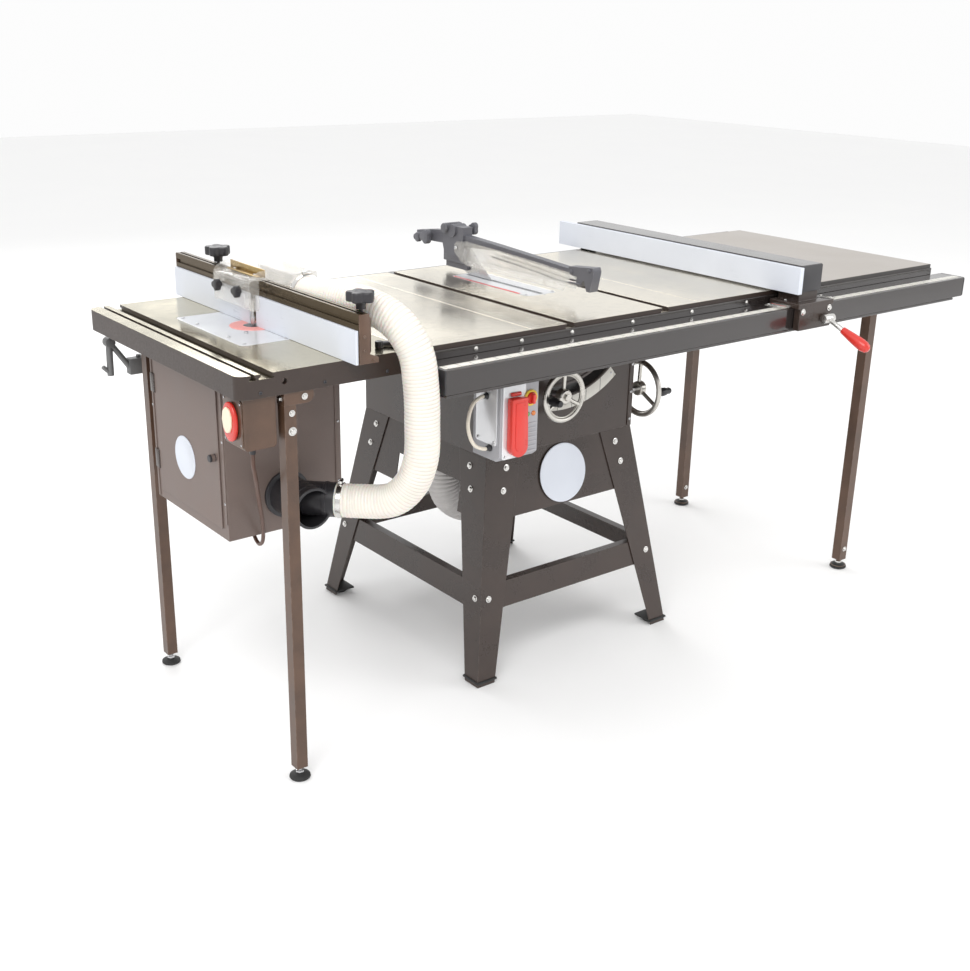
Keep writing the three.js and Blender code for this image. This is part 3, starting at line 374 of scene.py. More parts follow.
def surface(name, colour, roughness, metallic=0.0, shade=0.1, patch=9.0, grain=420.0, depth=0.03,
            spread=0.07, stretch=(1, 1, 1), wear=None, **fixed):
    """Colour patches, a fine grain in roughness and relief, and optionally worn edges."""
    g = Graph(name)
    low, high = shades(colour, shade)
    patches = g.remap(g.noise(patch, 5.0), 0.32, 0.68)
    grains = g.noise(grain, 4.0, stretch)
    tone = g.mix(patches, low, high)
    tone = g.mix(g.remap(grains, 0.35, 0.75, 0.0, 0.35), tone, high)
    rough = g.remap(g.maths("ADD", g.maths("MULTIPLY", patches, 0.5), g.maths("MULTIPLY", grains, 0.5)),
                    0.2, 0.75, max(0.02, roughness - spread), roughness + spread)
    if wear:
        worn = g.maths("MULTIPLY", g.edges(0.0016), g.remap(g.noise(70.0, 5.0), 0.42, 0.6))
        tone = g.mix(g.maths("MULTIPLY", worn, 0.75), tone, wear)
    g.put(g.shader.inputs["Base Color"], tone)
    g.put(g.shader.inputs["Roughness"], rough)
    g.bump(grains, depth)
    g.fixed(Metallic=metallic, **fixed)


DARK_PAINT = (0.036, 0.023, 0.018)
GROUND_FROM = (0.8605, 0.8615)  # row heights between which dark paint gives way to ground iron
TAPE_MIDDLE = -0.4315  # row y of the line that the short marks stop at


def ground_iron(name, colour, sheen):
    """Ground and waxed cast iron where a face looks up near the top, dark paint elsewhere. The dark is real
    paint on the sides and underside, and painted shade on the slot walls, which are bare iron.
    """
    g = Graph(name)
    low, high = shades(colour, 0.07)
    patches = g.remap(g.noise(5.0, 6.0), 0.3, 0.7)
    strokes = g.noise(1.0, 3.0, (26.0, 1500.0, 26.0))
    swirl = g.noise(60.0, 6.0)
    iron = g.mix(patches, low, high)
    iron = g.mix(g.remap(swirl, 0.5, 0.8, 0.0, 0.35), iron, shades(colour, 0.3)[0])
    # the dark paint colour; on the slot walls it is painted shade over bare iron
    paint = g.mix(g.noise(14.0, 4.0), *shades(DARK_PAINT, 0.22))
    worn = g.maths("MULTIPLY", g.edges(0.0018), g.remap(g.noise(55.0, 5.0), 0.44, 0.6))
    paint = g.mix(g.maths("MULTIPLY", worn, 0.6), paint, (0.16, 0.13, 0.1))
    # faces that do not look up get the dark paint: real paint on the sides, painted shade in the slots
    up = g.remap(g.split(g.facing)[2], 0.6, 0.8)
    high_up = g.remap(g.split(g.place)[2], *GROUND_FROM)
    mask = g.maths("MULTIPLY", up, high_up)
    g.put(g.shader.inputs["Base Color"], g.mix(mask, paint, iron))
    g.put(g.shader.inputs["Metallic"], mask)
    polish = g.remap(g.maths("ADD", g.maths("MULTIPLY", patches, 0.6), g.maths("MULTIPLY", strokes, 0.4)),
                     0.2, 0.8, sheen - 0.05, sheen + 0.09)
    rough_paint = g.remap(g.noise(300.0), 0.3, 0.7, 0.34, 0.46)
    g.put(g.shader.inputs["Roughness"], g.maths("ADD", g.maths("MULTIPLY", mask, polish), g.maths(
        "MULTIPLY", g.maths("SUBTRACT", 1.0, mask), rough_paint)))
    g.bump(g.maths("ADD", g.maths("MULTIPLY", strokes, 0.25),
                   g.maths("MULTIPLY", g.noise(260.0), 0.4)), 0.02)


def brushed(name, colour, roughness, stretch):
    """Bare metal with a grain drawn out along one direction."""
    surface(name, colour, roughness, 1.0, shade=0.08, grain=1.0, depth=0.02, spread=0.08,
            stretch=stretch)


def clear_sheet(name, colour, roughness=0.05):
    """Clear polycarbonate with faint scuffs."""
    g = Graph(name)
    scuffs = g.remap(g.noise(1.0, 5.0, (90.0, 400.0, 90.0)), 0.55, 0.75)
    g.put(g.shader.inputs["Base Color"], g.mix(g.noise(25.0), *shades(colour, 0.03)))
    g.put(g.shader.inputs["Roughness"], g.remap(scuffs, 0.0, 1.0, roughness, roughness + 0.16))
    g.bump(scuffs, 0.01)
    g.fixed(Transmission_Weight=0.7, IOR=1.3, Alpha=0.4)


def ruled(name, ground, mark, spacing, share):
    """Pale tape with rule marks across it: one each `spacing` mm, longer each fifth."""
    g = Graph(name)
    x, y, _ = g.split(g.place)
    tape = g.mix(g.noise(40.0), *shades(ground, 0.05))
    shift = g.maths("ADD", x, CENTRE[0] * MM)
    fine = g.maths("LESS_THAN", g.maths("FRACT", g.maths("DIVIDE", shift, spacing * MM)), share)
    fifth = g.maths("DIVIDE", shift, 5 * spacing * MM)
    coarse = g.maths("LESS_THAN", g.maths("FRACT", fifth), share / 3)
    low = g.maths("LESS_THAN", y, TAPE_MIDDLE)
    marks = g.maths("MAXIMUM", g.maths("MULTIPLY", fine, low), coarse)
    g.put(g.shader.inputs["Base Color"], g.mix(marks, tape, mark))
    g.put(g.shader.inputs["Roughness"], g.remap(g.noise(500.0), 0.3, 0.7, 0.25, 0.4))
    g.bump(g.noise(900.0), 0.01)


WORN_STEEL = (0.22, 0.19, 0.17)
ground_iron("router_iron", (0.66, 0.61, 0.47), 0.12)
ground_iron("saw_iron", (0.82, 0.77, 0.66), 0.2)
surface("paint", DARK_PAINT, 0.3, shade=0.2, depth=0.05, wear=WORN_STEEL, Coat_Weight=0.15)
surface("rail_paint", (0.024, 0.019, 0.018), 0.16, shade=0.15, depth=0.02,
        wear=WORN_STEEL, Coat_Weight=0.5)
surface("leg_paint", (0.085, 0.046, 0.028), 0.36, shade=0.25, patch=14.0, depth=0.05,
        wear=(0.3, 0.22, 0.17), Coat_Weight=0.1)
surface("sheet_paint", (0.155, 0.115, 0.10), 0.45, shade=0.1, depth=0.05, wear=WORN_STEEL)
surface("laminate", (0.36, 0.33, 0.30), 0.34, shade=0.015, patch=4.0, grain=1500.0, depth=0.03)
surface("edge_band", (0.028, 0.024, 0.022), 0.4, depth=0.04)
surface("casting", (0.17, 0.17, 0.17), 0.55, 0.3, grain=260.0, depth=0.25, shade=0.15)
brushed("steel", (0.56, 0.56, 0.57), 0.24, (1400.0, 60.0, 60.0))
surface("bright", (0.66, 0.65, 0.63), 0.2, 1.0, shade=0.08, grain=500.0, depth=0.02)
surface("cast_silver", (0.58, 0.56, 0.52), 0.3, 1.0, shade=0.1, grain=240.0, depth=0.08)
surface("aluminium", (0.46, 0.46, 0.47), 0.38, 0.9, shade=0.1, grain=380.0, depth=0.08)
brushed("bronze", (0.105, 0.078, 0.047), 0.26, (60.0, 12.0, 900.0))
brushed("gold", (0.42, 0.30, 0.13), 0.28, (40.0, 900.0, 900.0))
surface("plate", (0.74, 0.75, 0.77), 0.2, 0.4, shade=0.04, grain=700.0, depth=0.015)
surface("white", (0.64, 0.67, 0.735), 0.34, shade=0.03, grain=1.0, depth=0.02,
        stretch=(900.0, 30.0, 900.0))
surface("cream", (0.80, 0.72, 0.55), 0.35, shade=0.05, depth=0.03)
surface("black_plastic", (0.022, 0.021, 0.024), 0.36, shade=0.15, grain=700.0,
        depth=0.05, wear=(0.09, 0.09, 0.1))
surface("rubber", (0.018, 0.018, 0.018), 0.62, shade=0.2, grain=500.0, depth=0.08)
surface("grey_plastic", (0.36, 0.36, 0.38), 0.42, shade=0.05, grain=800.0, depth=0.04)
surface("guard_plastic", (0.10, 0.10, 0.115), 0.4, shade=0.1, grain=700.0, depth=0.05,
        wear=(0.3, 0.3, 0.32))
surface("red", (0.60, 0.028, 0.018), 0.28, shade=0.08, grain=600.0, depth=0.02, Coat_Weight=0.4)
surface("yellow", (0.75, 0.52, 0.05), 0.35, shade=0.06, depth=0.03)
surface("pink", (0.78, 0.30, 0.27), 0.34, shade=0.06, depth=0.02)
surface("green", (0.05, 0.35, 0.09), 0.2, shade=0.06, depth=0.02, Coat_Weight=0.6)
surface("amber", (0.62, 0.18, 0.03), 0.2, shade=0.06, depth=0.02, Coat_Weight=0.6)
surface("hose", (0.82, 0.765, 0.70), 0.4, shade=0.04, patch=30.0, grain=500.0, depth=0.04,
        Subsurface_Weight=0.25, Subsurface_Scale=0.01)
surface("hose_wire", (0.72, 0.66, 0.59), 0.38, shade=0.1, depth=0.02)
surface("grey_hose", (0.52, 0.50, 0.49), 0.48, shade=0.08, patch=30.0, depth=0.05)
surface("lead", (0.10, 0.05, 0.035), 0.4, shade=0.1, depth=0.03)
surface("pale_lead", (0.74, 0.68, 0.58), 0.4, shade=0.06, depth=0.03)
clear_sheet("clear", (0.97, 0.95, 0.9))
clear_sheet("smoke", (0.90, 0.88, 0.83), 0.12)
ruled("tape", (0.70, 0.68, 0.62), (0.03, 0.03, 0.03), 6.35, 0.16)
ruled("dial", (0.62, 0.60, 0.55), (0.05, 0.05, 0.05), 9.0, 0.1)


# ------------------------------------------------------------------ hoses and leads
def ribbed(radius, pitch, depth):
    """Hose skin that swells between the turns of a buried helix."""
    def size(s, turn):
        phase = 2 * math.pi * s / pitch - turn
        return radius - depth * (0.5 + 0.5 * math.cos(phase)) ** 2
    return size


def helix(points, radius, pitch, per_turn):
    """Points of a wire wound round a path, in step with ribbed()."""
    steps = frames(resample(points, pitch / per_turn))
    total, gap = [], length_of(points) / (len(steps) - 1)
    for i, (p, u, v) in enumerate(steps):
        turn = 2 * math.pi * i * gap / pitch
        total.append(p + (u * math.cos(turn) + v * math.sin(turn)) * radius)
    return total


WYE_END = (-127.7, 85.7, 560)
FENCE_ROUTE = [
    (-92, 251.7, 952), (-92, 236, 952), (-92, 220, 952), (-88, 120, 960), (-74, 40, 960),
    (-52, -22, 936), (-34, -56, 886), (-26, -64, 820), (-24, -66, 740), (-24, -62, 670),
    (-32, -40, 612), (-54, -8, 574), (-98, 56, 560), (-116, 74, 560), WYE_END]
SAW_ROUTE = [(x, 395, z) for x, z in (
    (382, 493.7), (382, 486), (381, 476), (371, 436), (373, 398), (392, 358), (434, 330), (496, 322),
    (562, 330), (612, 358), (638, 398), (643, 436), (641, 476), (640, 486), (640, 493.7))]
LEAD_ROUTE = [
    (-330, 50, 706.7), (-330, 50, 698), (-330, 51, 690), (-318, 66, 652), (-293, 106, 595),
    (-266, 146, 528), (-253, 169, 488), (-247, 186, 462), (-244, 206, 450), (-242, 226, 456),
    (-241, 236, 468), (-241, 237, 474), (-241, 237, 479.7)]
CABLE_ROUTE = [
    (197.7, 12, 744), (190, 12, 744), (182, 12, 744), (158, 10, 732), (143, 6, 690),
    (156, 2, 647), (182, 0, 633), (190, 0, 633), (197.7, 0, 633)]


def hose(name, route, radius, pitch, depth, look, node, sides, with_wire):
    """A ribbed dust hose between two ports of the object."""
    line = spline(route, pitch / 6)
    skin = Build().sweep(line, ribbed(radius, pitch, depth), sides).done(name, "frame", look, node)
    if with_wire:
        wire = helix(line, radius - depth + 0.4, pitch, 20)
        Build().sweep(wire, 1.0, 6).done(name + "_wire", "frame", "hose_wire")
    [at(*p) for p in resample(line, 12)]


hose("fence_dust_hose", FENCE_ROUTE, 35, 7.5, 1.5, "hose", "router_dust_hose", 32, True)
hose("blade_dust_hose", SAW_ROUTE, 44, 9, 2.2, "grey_hose", "saw_dust_hose", 36, False)


def lead():
    line = spline(LEAD_ROUTE, 6)
    made = Build().sweep(line, 4.0, 14).done("router_lead", "frame", "lead", "router_switch_lead")


lead()
Build().sweep(spline(CABLE_ROUTE, 4), 4.0, 14).done(
    "switch_cable_loop", "frame", "pale_lead", "control_cable")


def band(b, centre, along, radius, width):
    """Worm-drive hose clamp: a band with its screw housing."""
    b.lathe(centre, along, [(radius, -width / 2), (radius + 1.4, -width / 2 + 0.5),
                            (radius + 1.4, width / 2 - 0.5), (radius, width / 2)], 48, ring=True)
    along = Vector(along).normalized()
    out = Vector((0, 0, 1)) if abs(along.z) < 0.7 else Vector((-1, 0, 0))
    side = along.cross(out).normalized()
    middle = Vector(centre) + out * (radius + 5)
    b.rod(middle - side * 9, middle + side * 9, 4.2, 12)
    b.rod(middle + side * 9, middle + side * 13, 3.4, 6)


clamps = Build()
band(clamps, (-92, 243, 952), (0, 1, 0), 35.2, 11)
branch = Vector((-58, 58, 0)).normalized()
band(clamps, Vector(WYE_END) - branch * 9, branch, 35.2, 11)
for x in (382, 640):
    band(clamps, (x, 395, 485), (0, 0, 1), 44.2, 12)
clamps.done("hose_clamps", "frame", "bright")


# ------------------------------------------------------------------ dressing the CAD nodes
def dress(nodes, look, bevel):
    """Gives CAD nodes their material, softened edges and clean shading."""
    for name in nodes.split():
        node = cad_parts[name]
        node.data.materials.clear()
        node.data.materials.append(LOOKS[look])
        custom = node.data.attributes.get("custom_normal")
        if custom:
            node.data.attributes.remove(custom)
        node.data.polygons.foreach_set("use_smooth", [True] * len(node.data.polygons))
        weld = node.modifiers.new("weld", "WELD")
        weld.merge_threshold = 2e-5
        flat = node.modifiers.new("flat", "DECIMATE")
        flat.decimate_type = "DISSOLVE"
        flat.angle_limit = math.radians(0.6)
        if bevel:
            soft = node.modifiers.new("soft", "BEVEL")
            soft.width = bevel * MM
            soft.segments = 2
            soft.limit_method = "ANGLE"
            soft.angle_limit = math.radians(38)
        node.modifiers.new("shading", "WEIGHTED_NORMAL")


dress("router_table", "router_iron", 1.2)
dress("left_wing centre_table right_wing", "saw_iron", 1.0)
dress("throat_insert", "plate", 0.5)
dress("router_insert_plate", "plate", 0.6)
dress("extension_table", "laminate", 1.5)
dress("front_rail_tube front_rail_angle rear_rail_angle", "rail_paint", 1.2)
dress("extension_leg_front extension_leg_rear router_leg_front router_leg_rear", "leg_paint", 1.2)
dress("stand_leg_front_left stand_leg_front_right stand_leg_rear_left stand_leg_rear_right "
      "stand_upper_frame stand_lower_frame cabinet", "paint", 0.9)
dress("trunnion_frame arbor_carriage", "casting", 1.0)
dress("saw_blade router_bit riving_knife", "steel", 0.3)
dress("router_motor", "aluminium", 0.8)
dress("dust_box dust_box_door", "sheet_paint", 0.9)
dress("saw_switch_box", "grey_plastic", 2.5)
dress("router_switch_box", "leg_paint", 2.0)
dress("router_fence_rail", "bronze", 0.5)
dress("router_fence_face_front router_fence_face_rear rip_fence_face", "white", 0.8)
dress("router_fence_dust_port", "smoke", 1.0)
dress("rip_fence_head", "paint", 1.5)
dress("rip_fence_beam", "rail_paint", 2.5)
dress("guard_arm", "guard_plastic", 2.0)


# ------------------------------------------------------------------ router table
BIT = (-160, 350)
FENCE_KNOBS = {"front": -12, "rear": 563}  # Y of the two clamp knobs on the fence
ROUTER_LEGS = {"front": 16.5, "rear": 632}  # Y of the two legs
LEG_X = -273
DOOR_HINGE = (-324.3, 493)
DUCT = (-188, 557)  # X and Z of the wye's barrel


def router_table():
    Build().lathe((*BIT, TOP), Z, [(20.6, 0.1), (49, 0.1), (48.6, 0.8), (21, 0.8)], 64, ring=True).done(
        "insert_ring", "frame", "pink")
    screws = Build()
    for x in (-252, -160, -68):
        for y in (213, 487):
            screws.screw((x, y, TOP + 0.1), Z, 3.6)
    for y in (280, 420):
        screws.screw((-252, y, TOP + 0.1), Z, 3.6).screw((-68, y, TOP + 0.1), Z, 3.6)
    screws.screw((-205, 295, TOP + 0.1), Z, 5.2)
    screws.done("insert_screws", "frame", "steel")
    bolts = Build()
    for x in (-335, -200, -60):
        bolts.screw((x, -0.1, 838), FRONT, 3.4)
    bolts.done("apron_screws", "frame", "black_plastic")
    lever = Build().prism("Z", TOP + 1, TOP + 9, arc(-34, 32, 27, -20, 130, 14)
                          + arc(-37, 29, 17, 130, -20, 14), 2.2)
    lever.rod((-50, 44, TOP + 0.3), (-50, 44, TOP + 14), 8, 24, 1.5)
    lever.done("fence_lock_lever", "frame", "black_plastic")


def router_fence():
    plates = Build()
    for y0, y1 in ((-49.5, -46.4), (717.4, 720.5)):
        plates.prism("Y", y0, y1, [(-153.5, 874), (-112, 874), (-112, 884), (-131, 892), (-131, 968),
                                   (-153.5, 968)], 0.7)
        for x, z in ((-143, 900), (-143, 926), (-124, 879)):
            plates.screw((x, y0 if y0 < 0 else y1, z), FRONT if y0 < 0 else Y, 3.2)
    for y in FENCE_KNOBS.values():
        plates.prism("Y", y - 13, y + 13, [(-132.6, 883), (-116, 883), (-112, 890), (-112, 952),
                                           (-118, 962), (-132.6, 962)], 1.5)
    plates.done("fence_plates", "frame", "leg_paint")
    bolts = Build()
    for y in (60, 150, 480, 640):
        bolts.bolt((-132.8, y, 905), X, 5.5)
    bolts.done("fence_bolts", "frame", "bright")
    for end, y in FENCE_KNOBS.items():
        knob = Build().prism("Z", 984, 1003.5, lobed(-126, y, 28, 7, 5), 3.2, 3)
        knob.lathe((-126, y, 970), Z, [(9.5, 0), (9.5, 8), (13, 15)], 28, 0.6)
        knob.lathe((-126, y, 1003), Z, [(12, 0), (11.5, 0.8), (10, 0.9), (9.5, 0.2)], 28)
        knob.rod((-126, y, 963), (-126, y, 971), 3.6, 16)
        knob.done("fence_clamp_knob_" + end, "clamp_" + end, "black_plastic", "fence_knob_" + end)


def bit_guard():
    wall = [(-184, 914), (-180, 909), (-165, 909), (-161, 914), (-161, 969.8), (-140, 969.8), (-140, 985),
            (-146, 990), (-158, 989), (-176, 981), (-184, 968)]
    outside = [(-184, 913), *arc(-174, 964, 10, 180, 90, 6), (-140, 974)]
    inside = [(-140, 971), *arc(-174, 964, 7, 90, 180, 6), (-181, 913)]
    shell = Build().prism("Y", 316, 319, wall, 0.6).prism("Y", 471, 474, wall, 0.6)
    shell.prism("Y", 318.6, 471.4, outside + inside, 0.5)
    shell.done("bit_guard_shell", "bit_shield", "clear", "bit_guard")
    plate = Build().box(-145.5, -142.5, 322, 468, 974.3, 991, 0.7)
    plate.box(-158, -143, 330, 460, 974.2, 977, 0.7)
    plate.done("bit_guard_plate", "bit_shield", "gold")
    knobs = Build()
    for y in (352, 438):
        knobs.prism("X", -201, -189, lobed(y, 947, 13, 4.5, 3, 36), 1.8, 3)
        knobs.lathe((-189.5, y, 947), X, [(7, 0), (5.5, 5.2)], 24, 0.4)
    knobs.done("bit_guard_knobs", "bit_shield", "black_plastic")
    screws = Build()
    for y in (352, 438):
        screws.screw((-150, y, 977), Z, 4)
    screws.done("bit_guard_screws", "bit_shield", "bright")


def router_switch():
    ribs = Build()
    for y in (22, 34, 66, 78):
        ribs.box(-350, -315, y - 1.2, y + 1.2, 725.6, 727.4, 0.4)
    ribs.prism("X", -367.8, -365.9, rounded(14, 86, 733, 823, 6), 0.6)
    ribs.done("router_switch_ribs", "frame", "leg_paint", slot="black_plastic")
    screws = Build()
    for y in (19, 81):
        for z in (739, 817):
            screws.screw((-367.8, y, z), LEFT, 2.4)
    screws.done("router_switch_screws", "frame", "steel")
    paddle = Build().prism("X", -377, -368.4, arc(50, 778, 26, 0, 360, 40, 1.46)[:-1], 3.5, 4)
    paddle.done("router_stop_paddle", "router_paddle", "red", "router_switch_paddle")
    Build().prism("X", -381.7, -376, arc(50, 782, 17, 0, 360, 9, 1.5)[:-1], 2.2, 3).done(
        "router_stop_pad", "router_paddle", "cream")
    gland = Build().lathe((-330, 50, 727), DOWN, [(10.5, 0), (10.5, 5), (8.6, 6), (7.4, 12), (6.6, 13),
                                                  (5.6, 20), (4.4, 20.2)], 24, 0.3)
    gland.lathe((-241, 237, 480), DOWN, [(9, 0), (9, 3), (7, 4), (4.4, 4.2)], 20, 0.3)
    gland.done("lead_glands", "frame", "black_plastic")


def router_legs():
    bolts = Build()
    for y, side in ((3.9, FRONT), (644.6, Y)):
        bolts.bolt((-270, y, 753), side, 6)
        bolts.bolt((-270, y, 788), side, 4.5)
    for y in ROUTER_LEGS.values():
        bolts.bolt((-286.1, y, 816), LEFT, 5)
        bolts.bolt((-243, y - 14.1, 817), FRONT, 4.5)
    bolts.done("router_leg_bolts", "frame", "bright")
    for end, y in ROUTER_LEGS.items():
        pad = [(20, 0), (22, 2.5), (21.4, 6), (15, 9.5), (9, 11), (0, 11)]
        Build().lathe((LEG_X, y, 0), Z, pad, 40).done(
            "router_pad_" + end, "foot_" + end, "rubber", "router_foot_" + end)
        stem = [(6, 10)] + [(5 + (i % 2), 20 + 0.9 * i) for i in range(40)] + [(5, 56)]
        Build().lathe((LEG_X, y, 0), Z, stem, 20).lathe(
            (LEG_X, y, 10.5), Z, [(9.4, 0), (9.4, 7)], 6, 0.6).done(
            "router_stem_" + end, "foot_" + end, "steel")


def enclosure():
    trim = Build().box(-323, -320.8, 187, 194, 516, 847, 0.7)
    trim.box(-323, -320.8, 506, 513, 482, 847, 0.7).box(-69, -56, 182.9, 185.2, 482, 847, 0.7)
    trim.done("enclosure_trim", "frame", "sheet_paint")
    screws = Build()
    for z in (560, 690, 810):
        screws.screw((-323, 190.5, z), LEFT, 2.6).screw((-323, 509.5, z), LEFT, 2.6)
        screws.screw((-62.5, 182.9, z), FRONT, 2.6)
    screws.done("enclosure_screws", "frame", "steel")
    knuckles, leaves = Build(), Build()
    for z in (550, 720):
        for i in range(3):
            knuckles.rod((*DOOR_HINGE, z + 14 * i), (*DOOR_HINGE, z + 13.4 + 14 * i), 2.6, 16)
        leaves.box(-325.2, -323.2, 496, 512, z, z + 41, 0.5)
    knuckles.done("hinge_knuckles", "enclosure_door", "paint")
    leaves.done("hinge_leaves", "frame", "paint")
    badge = Build().lathe((-324.5, 360, 612), LEFT, [(46, 0), (46, 1), (45, 1.8), (42, 1.8), (41, 1.2),
                                                     (0, 1.2)], 72)
    badge.done("enclosure_badge", "enclosure_door", "white")
    latch = Build().lathe((-324.4, 223, 650), LEFT, [(8, 0), (8, 2), (5, 3), (5, 7), (8, 9), (8, 12),
                                                     (6.5, 13.5), (0, 13.5)], 28)
    latch.done("door_latch", "enclosure_door", "black_plastic")


def wye():
    barrel = Build()
    skin = [(42, 0), (43.2, 1), (43.2, 4), (42, 5)]
    for i in range(1, 4):
        skin += [(42, 18 * i), (42.9, 18 * i + 1), (42.9, 18 * i + 4), (42, 18 * i + 5)]
    skin += [(42, 88), (42, 103), (50, 105), (50, 110.4), (38, 110.4), (38, 0)]
    barrel.lathe((DUCT[0], 74.2, DUCT[1]), Y, skin, 56, ring=True)
    barrel.lathe((-128.2, 86.2, 560), branch, [(31, 0), (35.5, 0), (35.5, 16), (36.8, 17), (36.8, 23),
                                               (35.5, 24), (35.5, 66), (31, 66)], 44, ring=True)
    barrel.done("dust_wye", "frame", "black_plastic", "duct_wye")
    # a dark disc at the back of the barrel: painted shade for the dark inside of the duct mouth
    Build().lathe((DUCT[0], 183, DUCT[1]), Y, [(0, 0), (36, 0), (36, 1.5), (0, 1.5)], 40).done(
        "wye_mouth_shade", "frame", "rubber")


def crank():
    y = 702
    made = Build().rod((-334, y - 11, 788), (-334, y + 11, 788), 11.5, 32, 1.2)
    made.sweep(spline([(-334, y, 788), (-312, y, 757), (-286, y, 718)], 4), 6.5, 18)
    made.sweep(spline([(-334, y, 788), (-335, y, 760), (-336, y, 712)], 4), 7.5, 18)
    made.rod((-336, y, 717), (-353, y, 734), 5, 18, 1.2)
    made.done("lift_crank_arm", "frame", "casting", "lift_crank")
    clip = Build().box(-262, -240, 686.4, 692, 708, 850, 0.8).box(-294, -243, 691, 714, 708, 745, 2.5)
    clip.rod((-268, y, 744), (-268, y, 751), 6, 6, 0.5)
    clip.done("lift_crank_holder", "frame", "casting")


for make in (router_table, router_fence, bit_guard, router_switch, router_legs, enclosure, wye, crank):
    make()


# ------------------------------------------------------------------ saw tops and rails
def saw_tops():
    Build().box(511.5, 519.5, 300, 556, TOP + 0.05, TOP + 0.5, 0.15).done(
        "insert_stripe", "frame", "red")
    screws = Build()
    for x in (517, 599):
        for y in (278, 556):
            screws.screw((x, y, TOP + 0.1), Z, 3.4)
    screws.rod((558, 258, TOP - 0.5), (558, 258, TOP + 0.2), 3, 16, 0)
    screws.done("throat_screws", "frame", "steel")
    band_edge = Build().box(1118, 1733.4, -1.2, 0.2, 836, 872.4, 0.4)
    band_edge.box(1732, 1733.4, -1, 687, 836, 872.4, 0.4)
    band_edge.box(1118, 1733.4, 685.8, 687.2, 836, 872.4, 0.4)
    band_edge.done("extension_edge", "frame", "edge_band")


def rails():
    Build().box(24, 1768, -74, -52, 844.9, 845.5, 0.1).done("scale_tape", "frame", "tape")
    caps = Build()
    for x0, x1 in ((16.5, 20.2), (1771.8, 1775.5)):
        caps.prism("X", x0, x1, rounded(-84.5, -7.5, 793.8, 845.5, 5), 1.2)
    caps.done("rail_caps", "frame", "black_plastic")
    bolts = Build()
    for x in (150, 270, 410, 590, 780, 970):
        bolts.bolt((x, -6.4, 854.5), FRONT, 3.6)
        bolts.bolt((x, 692.4, 832), Y, 5)
    for x in (120, 420, 760, 1100, 1400, 1680):
        bolts.bolt((x, -46, 787.9), DOWN, 6)
    bolts.done("rail_bolts", "frame", "bright")


def extension_legs():
    bolts, pads = Build(), Build()
    for y in (40, 666):
        for x in (1508, 1572):
            bolts.bolt((x, y + 8, 830.6), DOWN, 5)
        bolts.bolt((1540, y - 14.1, 60), FRONT, 5)
        bolts.lathe((1540, y, 12), Z, [(9.6, 0), (9.6, 7)], 6, 0.5)
        pads.lathe((1540, y, 0.1), Z, [(22, 0), (23.4, 2), (23, 6), (18, 9.8), (9, 11.5), (9, 9.6), (16, 8)],
                   40, ring=True)
    bolts.done("extension_leg_bolts", "frame", "bright")
    pads.done("extension_leg_pads", "frame", "rubber")


# ------------------------------------------------------------------ rip fence
def rip_fence():
    clear = Build()
    for x0, x1 in ((1004, 1048), (1175, 1213)):
        clear.box(x0, x1, -80, -34, 848, 851.5, 0.6)
    clear.done("cursor_windows", "rip_fence", "clear")
    lines = Build()
    for x in (1026, 1194):
        lines.box(x - 0.4, x + 0.4, -79, -35, 851.4, 851.9, 0.1)
    lines.done("cursor_lines", "rip_fence", "red")
    bolts = Build()
    for x in (1010, 1207):
        bolts.screw((x, -42, 851.5), Z, 3.4).screw((x, -72, 851.5), Z, 3.4)
    for x in (1062, 1161):
        bolts.bolt((x, -104.1, 838), FRONT, 5.5)
        bolts.screw((x, -50, 857.4), Z, 4.4)
    for y in (0, 160, 320, 480, 640):
        bolts.screw((1145.5, y, 912), X, 4)
    bolts.done("rip_fence_bolts", "rip_fence", "bright")
    beam = rounded(1069.6, 1145.6, 880, 943.6, 4)
    cap = Build().prism("Y", -84.5, -80.5, beam, 1.0).prism("Y", 714.6, 718, beam, 1.0)
    cap.box(1086, 1129, 696, 716, 864.5, 880, 1.2)
    cap.done("rip_fence_caps", "rip_fence", "black_plastic")
    hub = Build().rod((1127, -116, 815), (1163, -116, 815), 11, 32, 1.2)
    hub.rod((1145, -120, 813), (1151, -166, 790), 6, 24, 0.6)
    hub.done("rip_lever_stem", "rip_lever", "bright", "rip_fence_lever")
    grip_line = Vector((11, -74, -37)).normalized()
    turned = [(0, 0), (8, 0.5), (9, 3), (9.8, 12), (12.5, 36), (14, 56), (13.6, 68), (11, 77), (6, 82),
              (0, 83.4)]
    Build().lathe((1150, -158, 794), grip_line, turned, 40).done("rip_lever_grip", "rip_lever", "red")


# ------------------------------------------------------------------ blade guard
BLADE_X = 558
GUARD_ROD = 13.4  # from the blade's plane to either rod of the guard


